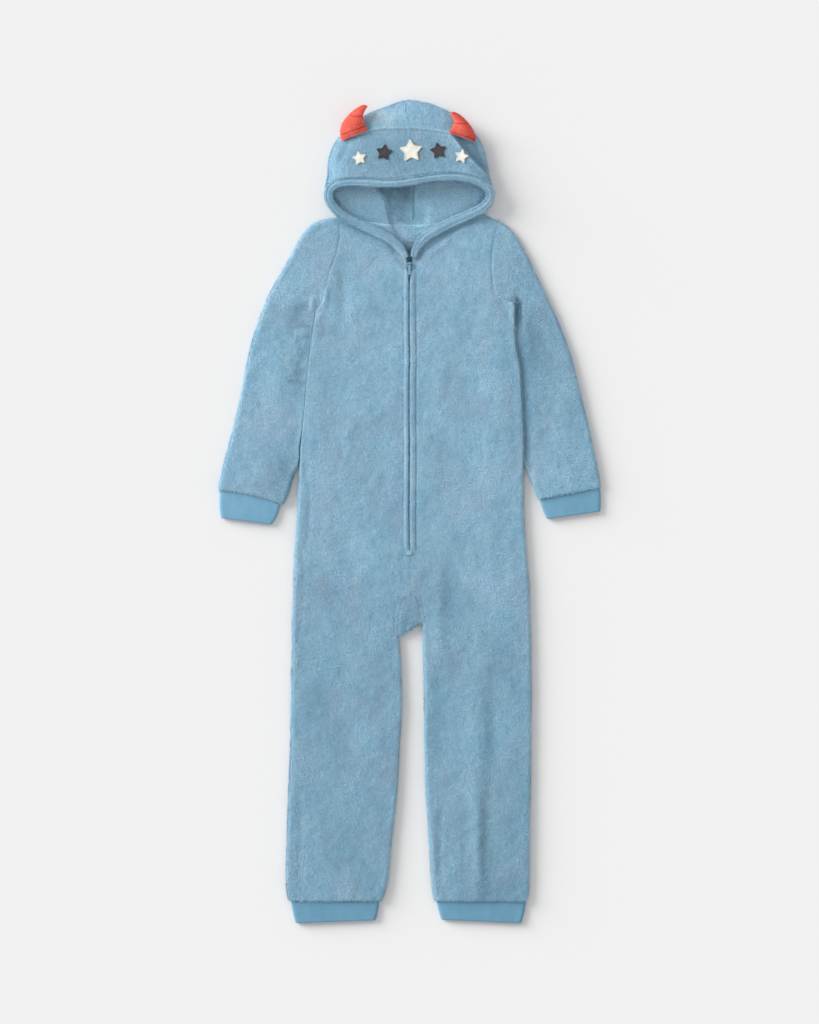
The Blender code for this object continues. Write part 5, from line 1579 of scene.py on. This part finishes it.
def make_stitching():
    pitch, thread = sizes().stitch_pitch / MM, sizes().thread / MM
    ys = np.linspace(346, ZIP_END + 2, 160)
    rows = [on_front(np.column_stack([middle_line(ys) + away, ys]), 0.35) for away in ZIP_STITCHES]
    rows += [on_front(line[4:-8], 0.3) for line in ARCH_STITCHES]
    spans = np.concatenate([stitch_row(row, pitch) for row in rows])
    add_stitches("seam_topstitching", spans, thread, THREAD_LOOK)
    ys = np.arange(ZIP_END - 4.5, ZIP_END + 0.5, 0.62)
    ends = [on_front(np.column_stack([np.full(len(ys), x), ys]), 0.9) for x in ZIP_TACK]
    add_stitches("zip_end_tack", np.stack(ends, 1), 0.36, THREAD_LOOK, 0.5)
    at = np.linspace(1.5, len(HEM) - 2.5, 400)
    line = np.column_stack([hem_side(at, 0.1), through(HEM, at)[:, 2] + 2.4])
    add_stitches("hem_stitching", stitch_row(line, pitch), thread, THREAD_LOOK)


# ---------------------------------------------------------------- pile


def make_pile(name, beds, look, seed, long, dense):
    """Pile as one triangle for each lock of fibres, leaning along the nap."""
    size, random = sizes(), np.random.default_rng(seed)
    locks = [[], [], []]
    for points, normals, share, nap in beds:
        a, b, c, d = corners_of(points)
        area = norm(np.cross(c - a, d - b)) / 2
        part = (share[:-1, :-1] + share[1:, 1:]) / 2
        want = area * part * size.pile_density * dense / 100
        want = np.floor(want + random.random(want.shape)).astype(int).ravel()
        spot = np.repeat(np.arange(len(want)), want)
        u, v = random.random((2, len(spot), 1))
        weights = ((1 - u) * (1 - v), u * (1 - v), u * v, (1 - u) * v)
        for kept, field in zip(locks, (points, normals)):
            parts = zip(weights, corners_of(field))
            kept.append(sum(weight * corner.reshape(-1, 3)[spot] for weight, corner in parts))
        columns = ((d - a) + (c - b)).reshape(-1, 3)[spot]
        locks[2].append(columns if nap is None else np.zeros_like(columns) + nap)
    root, normal, along_nap = (np.concatenate(part) for part in locks)
    normal = unit(normal)
    way = unit(along_nap - normal * (along_nap * normal).sum(1)[:, None], 1e-9)
    count, xy = len(root), root[:, :2]
    turn = np.radians(48 * ripple(xy, 46, 11) + 26 * ripple(xy, 13, 12) + 18 * random.standard_normal(count))
    way = way * np.cos(turn)[:, None] + np.cross(normal, way) * np.sin(turn)[:, None]
    steep = smooth((0.85 - normal[:, 2]) / 0.6)
    lean = size.pile_lean + np.radians(11 * random.standard_normal(count) + 14 * steep)
    reach = size.pile_length / MM * long * (0.7 + 0.6 * random.random(count))
    root = root - 0.3 * normal
    tip = root + reach[:, None] * (way * np.cos(lean)[:, None] + normal * np.sin(lean)[:, None])
    half = np.cross(normal, way) * (size.pile_width / MM / 2 * (0.7 + 0.6 * random.random(count)))[:, None]
    points = np.stack([root + half, root - half, tip], 1).reshape(-1, 3)
    points[:, 2] = np.maximum(points[:, 2], PILE_LEAST)
    mesh = bpy.data.meshes.new(name)
    mesh.vertices.add(3 * count)
    mesh.vertices.foreach_set("co", (points * MM).astype(np.float32).ravel())
    mesh.loops.add(3 * count)
    mesh.loops.foreach_set("vertex_index", np.arange(3 * count, dtype=np.int32))
    mesh.polygons.add(count)
    mesh.polygons.foreach_set("loop_start", np.arange(0, 3 * count, 3, dtype=np.int32))
    mesh.update(calc_edges=True)
    add_piece(name, mesh, look, tip=np.tile([0.0, 0.0, 1.0], count), lock=np.repeat(random.random(count), 3),
              full=np.full(3 * count, PAINTED_LIGHT_SHARE.get(name, 0.0)), lie=np.repeat(lie(xy, name), 3))


# ---------------------------------------------------------------- materials

# Inputs of a mix of colours: the share, and the colours at shares 0 and 1. Its output is MIXED.
SHARE, FROM, TO, MIXED = 0, 6, 7, 2
COLOURS = {"data_type": "RGBA"}
MULTIPLY = {"data_type": "RGBA", "blend_type": "MULTIPLY"}
# Inputs of a range: the value, what it goes from and to, and what that is brought to
VALUE, LOW, HIGH, TO_LOW, TO_HIGH = range(5)
BAND = 0.314  # scale of a wave texture, times the width of its bands in metres


def fill(tree, made, inputs):
    """Gives each input of a node the socket that feeds it, or its value."""
    for name, value in inputs.items():
        if isinstance(value, bpy.types.NodeSocket):
            tree.links.new(value, made.inputs[name])
        else:
            made.inputs[name].default_value = value


def node(tree, kind, inputs, output=0, **settings):
    """Adds a node with its settings and inputs, and gives its output."""
    made = tree.nodes.new("ShaderNode" + kind)
    for name, value in settings.items():
        setattr(made, name, value)
    fill(tree, made, inputs)
    return made.outputs[output]


def layered(tree, shade, *layers):
    """Colours laid over a shade one by one, with a share that goes with a value.

    A layer is the value, its low and its high end, the shares there, and the colour.
    """
    for value, low, high, at_low, at_high, over in layers:
        share = node(tree, "MapRange", {VALUE: value, LOW: low, HIGH: high, TO_LOW: at_low, TO_HIGH: at_high})
        shade = node(tree, "Mix", {SHARE: share, FROM: shade, TO: over}, MIXED, **COLOURS)
    return shade


def with_nap_and_painted_light(tree, shade):
    """A colour made paler or deeper, as the cloth's attributes say: patches of nap, painted light and painted
    shade.
    """
    how = node(tree, "Attribute", {}, "Fac", attribute_name="lie")
    full = node(tree, "Attribute", {}, "Fac", attribute_name="full")
    # Painted light: where the full attribute says, the colour is made paler for the hood's inside and the
    # back, which lie in shade
    painted_paler = node(tree, "Mix", {SHARE: 1.0, FROM: shade, TO: (1.30, 1.29, 1.25, 1)}, MIXED, **MULTIPLY)
    shade = node(tree, "Mix", {SHARE: full, FROM: shade, TO: painted_paler}, MIXED, **COLOURS)
    # Painted shade: lower values of the lie attribute darken the colour, deepest below 0 down in folds.
    # Values over 0.6 mix in a pale blue, for patches of nap and for painted highlight
    deep = node(tree, "Mix", {SHARE: 1.0, FROM: shade, TO: (0.60, 0.67, 0.70, 1)}, MIXED, **MULTIPLY)
    painted_fold_shade = node(tree, "Mix", {SHARE: 1.0, FROM: deep, TO: (0.38, 0.50, 0.58, 1)}, MIXED, **MULTIPLY)
    return layered(tree, deep, (how, 0, 0.54, 0, 1, shade), (how, 0, -1, 0, 1, painted_fold_shade),
                   (how, 0.6, 1, 0, 0.8, (0.60, 0.76, 0.83, 1)))


def plush_colour(tree, place):
    """Colour of the plush: patches where the nap lies one way or the other, the dye's grain, and the painted
    light and shade that the attributes carry.
    """
    drawn = node(tree, "Mapping", {"Vector": place, "Scale": (1.0, 0.45, 1.0)})
    moved = node(tree, "Mapping", {"Vector": place, "Location": (0.4, 0.7, 0.1), "Scale": (1.0, 0.6, 1.0)})
    shade = tint("plush_deep")
    for vector, size, detail, roughness, low, high, most, colour_name in (
        (drawn, 0.034, 3, 0.6, 0.36, 0.64, 1.0, "plush"),
        (drawn, 0.0075, 3, 0.6, 0.32, 0.68, 0.45, "plush_light"),
        (moved, 0.05, 2, 0.5, 0.48, 0.66, 0.42, "plush_grey"),
    ):
        patches = node(tree, "TexNoise", {"Vector": vector, "Scale": 1 / size, "Detail": detail,
                                          "Roughness": roughness})
        shade = layered(tree, shade, (patches, low, high, 0, most, tint(colour_name)))
    return with_nap_and_painted_light(tree, shade)


def polyester_plush_ground(tree, place):
    # What shows between the locks of pile: the same blue, darker where little light comes
    shade = node(tree, "Mix", {SHARE: 1.0, FROM: plush_colour(tree, place), TO: (0.80, 0.82, 0.84, 1)}, MIXED,
                 **MULTIPLY)
    clumps = node(tree, "TexNoise", {"Vector": place, "Scale": 1 / 0.0035, "Detail": 3, "Roughness": 0.6})
    shade = layered(tree, shade, (clumps, 0.3, 0.62, 0.28, 0, (0.10, 0.17, 0.22, 1)))
    # Faint rows across, where the pile stands in the knitted courses; four times coarser than the knit
    rows = node(tree, "TexWave", {"Vector": place, "Scale": BAND / 0.0042, "Distortion": 1.2, "Detail": 1.0,
                                  "Detail Scale": 2.0}, 1, bands_direction="Y")
    bump = node(tree, "Bump", {"Strength": 0.5, "Distance": 0.0009, "Height": clumps})
    bump = node(tree, "Bump", {"Strength": 0.2, "Distance": 0.0005, "Height": rows, "Normal": bump})
    return {"Base Color": shade, "Normal": bump, "Roughness": 0.95, "Sheen Weight": 0.25,
            "Sheen Roughness": 0.6, "Specular IOR Level": 0.15}


def polyester_plush_pile(tree, place):
    # Locks of fine fibres, each a little different, with painted shade that makes them darker at the root,
    # where little light gets in among them, and pale at the tip
    tip = node(tree, "Attribute", {}, "Fac", attribute_name="tip")
    lock = node(tree, "Attribute", {}, "Fac", attribute_name="lock")
    shade = plush_colour(tree, place)
    deep = node(tree, "Mix", {SHARE: 1.0, FROM: shade, TO: (0.72, 0.78, 0.82, 1)}, MIXED, **MULTIPLY)
    shade = layered(tree, deep, (tip, 0, 0.85, 0, 1, shade), (lock, 0.5, 1, 0, 0.18, (0.86, 0.93, 0.97, 1)),
                    (lock, 0.5, 0, 0, 0.22, (0.16, 0.36, 0.48, 1)))
    return {"Base Color": shade, "Roughness": 0.7, "Sheen Weight": 0.35, "Sheen Roughness": 0.5,
            "Specular IOR Level": 0.25}


def cotton_jersey_knitted(tree, place):
    # Fine wales along the cuff, smooth and a little deeper blue than the plush
    pitch = sizes().knit_pitch
    wales = node(tree, "TexWave", {"Vector": place, "Scale": BAND / pitch, "Distortion": 0.3}, 1,
                 bands_direction="X")
    courses = node(tree, "TexWave", {"Vector": place, "Scale": BAND / (pitch * 0.7), "Distortion": 0.6}, 1,
                   bands_direction="Y")
    worn = node(tree, "TexNoise", {"Vector": place, "Scale": 1 / 0.02, "Detail": 3, "Roughness": 0.5})
    deep = (*[c * 0.72 for c in tint("jersey")[:3]], 1)
    # The grooves between the wales are darker: painted shade
    shade = layered(tree, tint("jersey"), (worn, 0.3, 0.7, 0, 0.35, deep),
                    (wales, 0, 0.45, 0.16, 0, (0.05, 0.12, 0.18, 1)))
    bump = node(tree, "Bump", {"Strength": 0.5, "Distance": 0.0003, "Height": wales})
    bump = node(tree, "Bump", {"Strength": 0.25, "Distance": 0.0002, "Height": courses, "Normal": bump})
    return {"Base Color": with_nap_and_painted_light(tree, shade), "Normal": bump, "Roughness": 0.85, "Sheen Weight": 0.1,
            "Specular IOR Level": 0.2}


def brushed_fleece(tree, place, base, dark, clump=0.0016, depth=0.0003):
    """Short brushed fleece: even, matt, with small clumps and painted shade in the hollows between them, and
    wider patches of deeper tone.
    """
    clumps = node(tree, "TexNoise", {"Vector": place, "Scale": 1 / clump, "Detail": 3, "Roughness": 0.6})
    wide = node(tree, "TexNoise", {"Vector": place, "Scale": 1 / (clump * 5), "Detail": 2, "Roughness": 0.5})
    shade = layered(tree, base, (clumps, 0.3, 0.6, 0.45, 0, dark), (wide, 0.4, 0.7, 0, 0.3, dark))
    bump = node(tree, "Bump", {"Strength": 0.7, "Distance": depth, "Height": clumps})
    return {"Base Color": shade, "Normal": bump, "Roughness": 0.95, "Sheen Weight": 0.2,
            "Sheen Roughness": 0.6, "Specular IOR Level": 0.15}


def coral_fleece_brushed(tree, place):
    # The horns' coral-red, with painted shade in the hollows of its nap
    return brushed_fleece(tree, place, tint("coral"), (0.42, 0.045, 0.04, 1), 0.0022, 0.0006)


def coral_fleece_pile(tree, _):
    # The horns' short nap, with painted shade that makes its locks darker at the root
    tip = node(tree, "Attribute", {}, "Fac", attribute_name="tip")
    shade = layered(tree, (0.50, 0.06, 0.05, 1), (tip, 0, 0.9, 0, 1, tint("coral")))
    return {"Base Color": shade, "Roughness": 0.8, "Sheen Weight": 0.25, "Sheen Roughness": 0.5,
            "Specular IOR Level": 0.2}


def white_fleece_brushed(tree, place):
    # Warm off-white of the light stars
    return brushed_fleece(tree, place, tint("white"), (0.60, 0.57, 0.50, 1))


def charcoal_fleece_brushed(tree, place):
    # Soft near-black of the dark stars
    return brushed_fleece(tree, place, tint("charcoal"), (0.020, 0.018, 0.020, 1))


def spun_thread(tree, place, base):
    """Spun polyester thread, with a little gloss."""
    strands = node(tree, "TexNoise", {"Vector": place, "Scale": 1 / 0.0008, "Detail": 2, "Roughness": 0.5})
    shade = layered(tree, base, (strands, 0.3, 0.7, 0, 0.4, (*[c * 0.6 for c in base[:3]], 1)))
    return {"Base Color": shade, "Roughness": 0.55, "Specular IOR Level": 0.3}


def polyester_thread_spun(tree, place):
    # The seams' thread, dyed to match the plush
    return spun_thread(tree, place, tint("thread"))


def red_polyester_thread_spun(tree, place):
    # Dark red rows round the horns
    return spun_thread(tree, place, tint("coral_thread"))


def polyester_tape_woven(tree, place):
    # Twill of the zip's tapes, darker blue than the plush
    turned = node(tree, "Mapping", {"Vector": place, "Rotation": (0, 0, math.radians(38))})
    twill = node(tree, "TexWave", {"Vector": turned, "Scale": BAND / 0.0012}, 1, bands_direction="X")
    shade = layered(tree, tint("tape"), (twill, 0, 1, 0, 0.35, (0.045, 0.11, 0.16, 1)))
    bump = node(tree, "Bump", {"Strength": 0.5, "Distance": 0.0002, "Height": twill})
    return {"Base Color": shade, "Normal": bump, "Roughness": 0.8, "Specular IOR Level": 0.2}


def nylon_coil_moulded(*_):
    # The coil's turns, smooth and slightly shiny
    return {"Base Color": tint("tape"), "Roughness": 0.35, "Specular IOR Level": 0.45}


def zinc_enamelled(tree, place):
    # Light blue enamel of the slider and its pull
    wear = node(tree, "TexNoise", {"Vector": place, "Scale": 1 / 0.004, "Detail": 2, "Roughness": 0.5})
    wear = node(tree, "MapRange", {VALUE: wear, LOW: 0.3, HIGH: 0.7, TO_LOW: 0.26, TO_HIGH: 0.42})
    return {"Base Color": tint("enamel"), "Roughness": wear, "Coat Weight": 0.5, "Coat Roughness": 0.12,
            "Specular IOR Level": 0.5}


def paper_matt(*_):
    # Plain pale surface under the garment
    return {"Base Color": tint("floor"), "Roughness": 1.0, "Specular IOR Level": 0.0}


MAKERS = (polyester_plush_ground, polyester_plush_pile, cotton_jersey_knitted, coral_fleece_brushed,
          coral_fleece_pile, white_fleece_brushed, charcoal_fleece_brushed, polyester_thread_spun,
          red_polyester_thread_spun, polyester_tape_woven, nylon_coil_moulded, zinc_enamelled, paper_matt)


def material(name):
    """A material by its name, made when it is first asked for."""
    made = bpy.data.materials.get(name)
    if made is None:
        made = bpy.data.materials.new(name)
        made.use_nodes = True
        tree = made.node_tree
        place = node(tree, "TexCoord", {}, "Object")
        maker = next(maker for maker in MAKERS if maker.__name__ == name)
        fill(tree, tree.nodes["Principled BSDF"], maker(tree, place))
    return made


# ---------------------------------------------------------------- operators


class PAJAMA_OT_stage(bpy.types.Operator):
    """Adds the pale surface, the soft light from the upper left and the camera overhead."""

    bl_idname = "pajama.stage"
    bl_label = "Stage"

    def execute(self, context):
        stage = context.scene.pajama_stage
        mesh = bpy.data.meshes.new("floor")
        signs = ((-1, -1), (1, -1), (1, 1), (-1, 1))
        corners = [(x * FLOOR_REACH, y * FLOOR_REACH, -FLOOR_DROP) for x, y in signs]
        mesh.from_pydata(corners, [], [(0, 1, 2, 3)])
        mesh.materials.append(material("paper_matt"))
        floor = bpy.data.objects.new("floor", mesh)
        key = bpy.data.lights.new("key", "SUN")
        key.energy, key.angle = stage.key_strength, stage.key_softness
        key_at = bpy.data.objects.new("key", key)
        key_at.rotation_euler = (0, math.radians(90) - stage.key_elevation, stage.key_direction)
        camera = bpy.data.cameras.new("camera")
        camera.sensor_width = 36.0
        camera.lens = camera.sensor_width * stage.camera_height / stage.view_height
        eye = bpy.data.objects.new("camera", camera)
        eye.location = (CAMERA_OFF, CAMERA_OFF, stage.camera_height)
        for made in (floor, key_at, eye):
            context.scene.collection.objects.link(made)
        context.scene.camera = eye
        world = bpy.data.worlds.new("studio")
        world.use_nodes = True
        sky = world.node_tree.nodes["Background"].inputs
        sky["Color"].default_value, sky["Strength"].default_value = (1, 1, 1, 1), stage.sky
        context.scene.world = world
        context.scene.view_settings.view_transform = "Standard"
        return {"FINISHED"}


class PAJAMA_OT_panels(bpy.types.Operator):
    """Makes the back, the two fronts with their folded edges at the zip, and the gusset."""

    bl_idname = "pajama.panels"
    bl_label = "Back, fronts and gusset"

    def execute(self, context):
        make_back()
        for side in PANELS:
            make_front(side)
        make_gusset()
        return {"FINISHED"}


class PAJAMA_OT_sleeves(bpy.types.Operator):
    """Makes both sleeves."""

    bl_idname = "pajama.sleeves"
    bl_label = "Sleeves"

    def execute(self, context):
        for side in SLEEVES:
            make_sleeve(side)
        return {"FINISHED"}


class PAJAMA_OT_cuffs(bpy.types.Operator):
    """Makes the jersey cuffs at the wrists and ankles."""

    bl_idname = "pajama.cuffs"
    bl_label = "Cuffs"

    def execute(self, context):
        for name, table in CUFFS.items():
            make_cuff(name, table)
        return {"FINISHED"}


class PAJAMA_OT_hood(bpy.types.Operator):
    """Makes the hood: its two halves, the brow band and the hem of the face opening."""

    bl_idname = "pajama.hood"
    bl_label = "Hood"

    def execute(self, context):
        for side in TOWARD:
            make_hood_half(side)
        make_brow()
        make_hem()
        return {"FINISHED"}


class PAJAMA_OT_horns(bpy.types.Operator):
    """Makes the two stuffed horns with their rows of stitches."""

    bl_idname = "pajama.horns"
    bl_label = "Horns"

    def execute(self, context):
        for side in HORNS:
            make_horn(side)
        return {"FINISHED"}


class PAJAMA_OT_stars(bpy.types.Operator):
    """Makes the star appliques on the brow, with their stitched edges."""

    bl_idname = "pajama.stars"
    bl_label = "Stars"

    def execute(self, context):
        for number, star in enumerate(STARS, 1):
            make_star(number, *star)
        return {"FINISHED"}


class PAJAMA_OT_zip(bpy.types.Operator):
    """Makes the zip's tapes and coil, and finishes its slider and pull."""

    bl_idname = "pajama.zip"
    bl_label = "Zip"

    def execute(self, context):
        make_zip_tapes()
        make_coil()
        for name in ("zip_slider", "zip_pull"):
            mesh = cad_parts[name].data
            mesh.materials.clear()
            mesh.materials.append(material("zinc_enamelled"))
        return {"FINISHED"}


class PAJAMA_OT_stitching(bpy.types.Operator):
    """Makes the topstitching beside the zip, round the gusset and along the hood's hem."""

    bl_idname = "pajama.stitching"
    bl_label = "Stitching"

    def execute(self, context):
        make_stitching()
        return {"FINISHED"}


class PAJAMA_OT_pile(bpy.types.Operator):
    """Grows the pile on every piece of plush and fleece."""

    bl_idname = "pajama.pile"
    bl_label = "Pile"

    def execute(self, context):
        BEDS["hood"] = [(points, normals, share * bare(points), nap)
                        for points, normals, share, nap in BEDS["hood"]]
        for name, look, seed, long, dense in PILES:
            make_pile(f"pile_{name}", BEDS[name], look, seed, long, dense)
        return {"FINISHED"}


OPERATORS = (PAJAMA_OT_stage, PAJAMA_OT_panels, PAJAMA_OT_sleeves, PAJAMA_OT_cuffs, PAJAMA_OT_hood,
             PAJAMA_OT_horns, PAJAMA_OT_stars, PAJAMA_OT_zip, PAJAMA_OT_stitching, PAJAMA_OT_pile)
GROUPS = {"pajama_sizes": PajamaSizes, "pajama_colours": PajamaColours, "pajama_stage": PajamaStage}


class PAJAMA_PT_main(bpy.types.Panel):
    """Sizes, colours and the pieces in the order they are made."""

    bl_label = "Pajama"
    bl_idname = "PAJAMA_PT_main"
    bl_space_type = "VIEW_3D"
    bl_region_type = "UI"
    bl_category = "Pajama"

    def draw(self, context):
        for name in GROUPS:
            box = self.layout.box()
            group = getattr(context.scene, name)
            for key in group.__annotations__:
                box.prop(group, key)
        for operator in OPERATORS:
            self.layout.operator(operator.bl_idname)


def register():
    for group in GROUPS.values():
        bpy.utils.register_class(group)
    for made in (*OPERATORS, PAJAMA_PT_main):
        bpy.utils.register_class(made)
    for name, group in GROUPS.items():
        setattr(bpy.types.Scene, name, PointerProperty(type=group))


def unregister():
    for name in GROUPS:
        delattr(bpy.types.Scene, name)
    for made in (PAJAMA_PT_main, *reversed(OPERATORS), *GROUPS.values()):
        bpy.utils.unregister_class(made)


def main():
    register()
    bpy.ops.pajama.stage()
    bpy.ops.pajama.panels()
    bpy.ops.pajama.sleeves()
    bpy.ops.pajama.cuffs()
    bpy.ops.pajama.hood()
    bpy.ops.pajama.horns()
    bpy.ops.pajama.stars()
    bpy.ops.pajama.zip()
    bpy.ops.pajama.stitching()
    bpy.ops.pajama.pile()


if __name__ == "__main__":
    main()
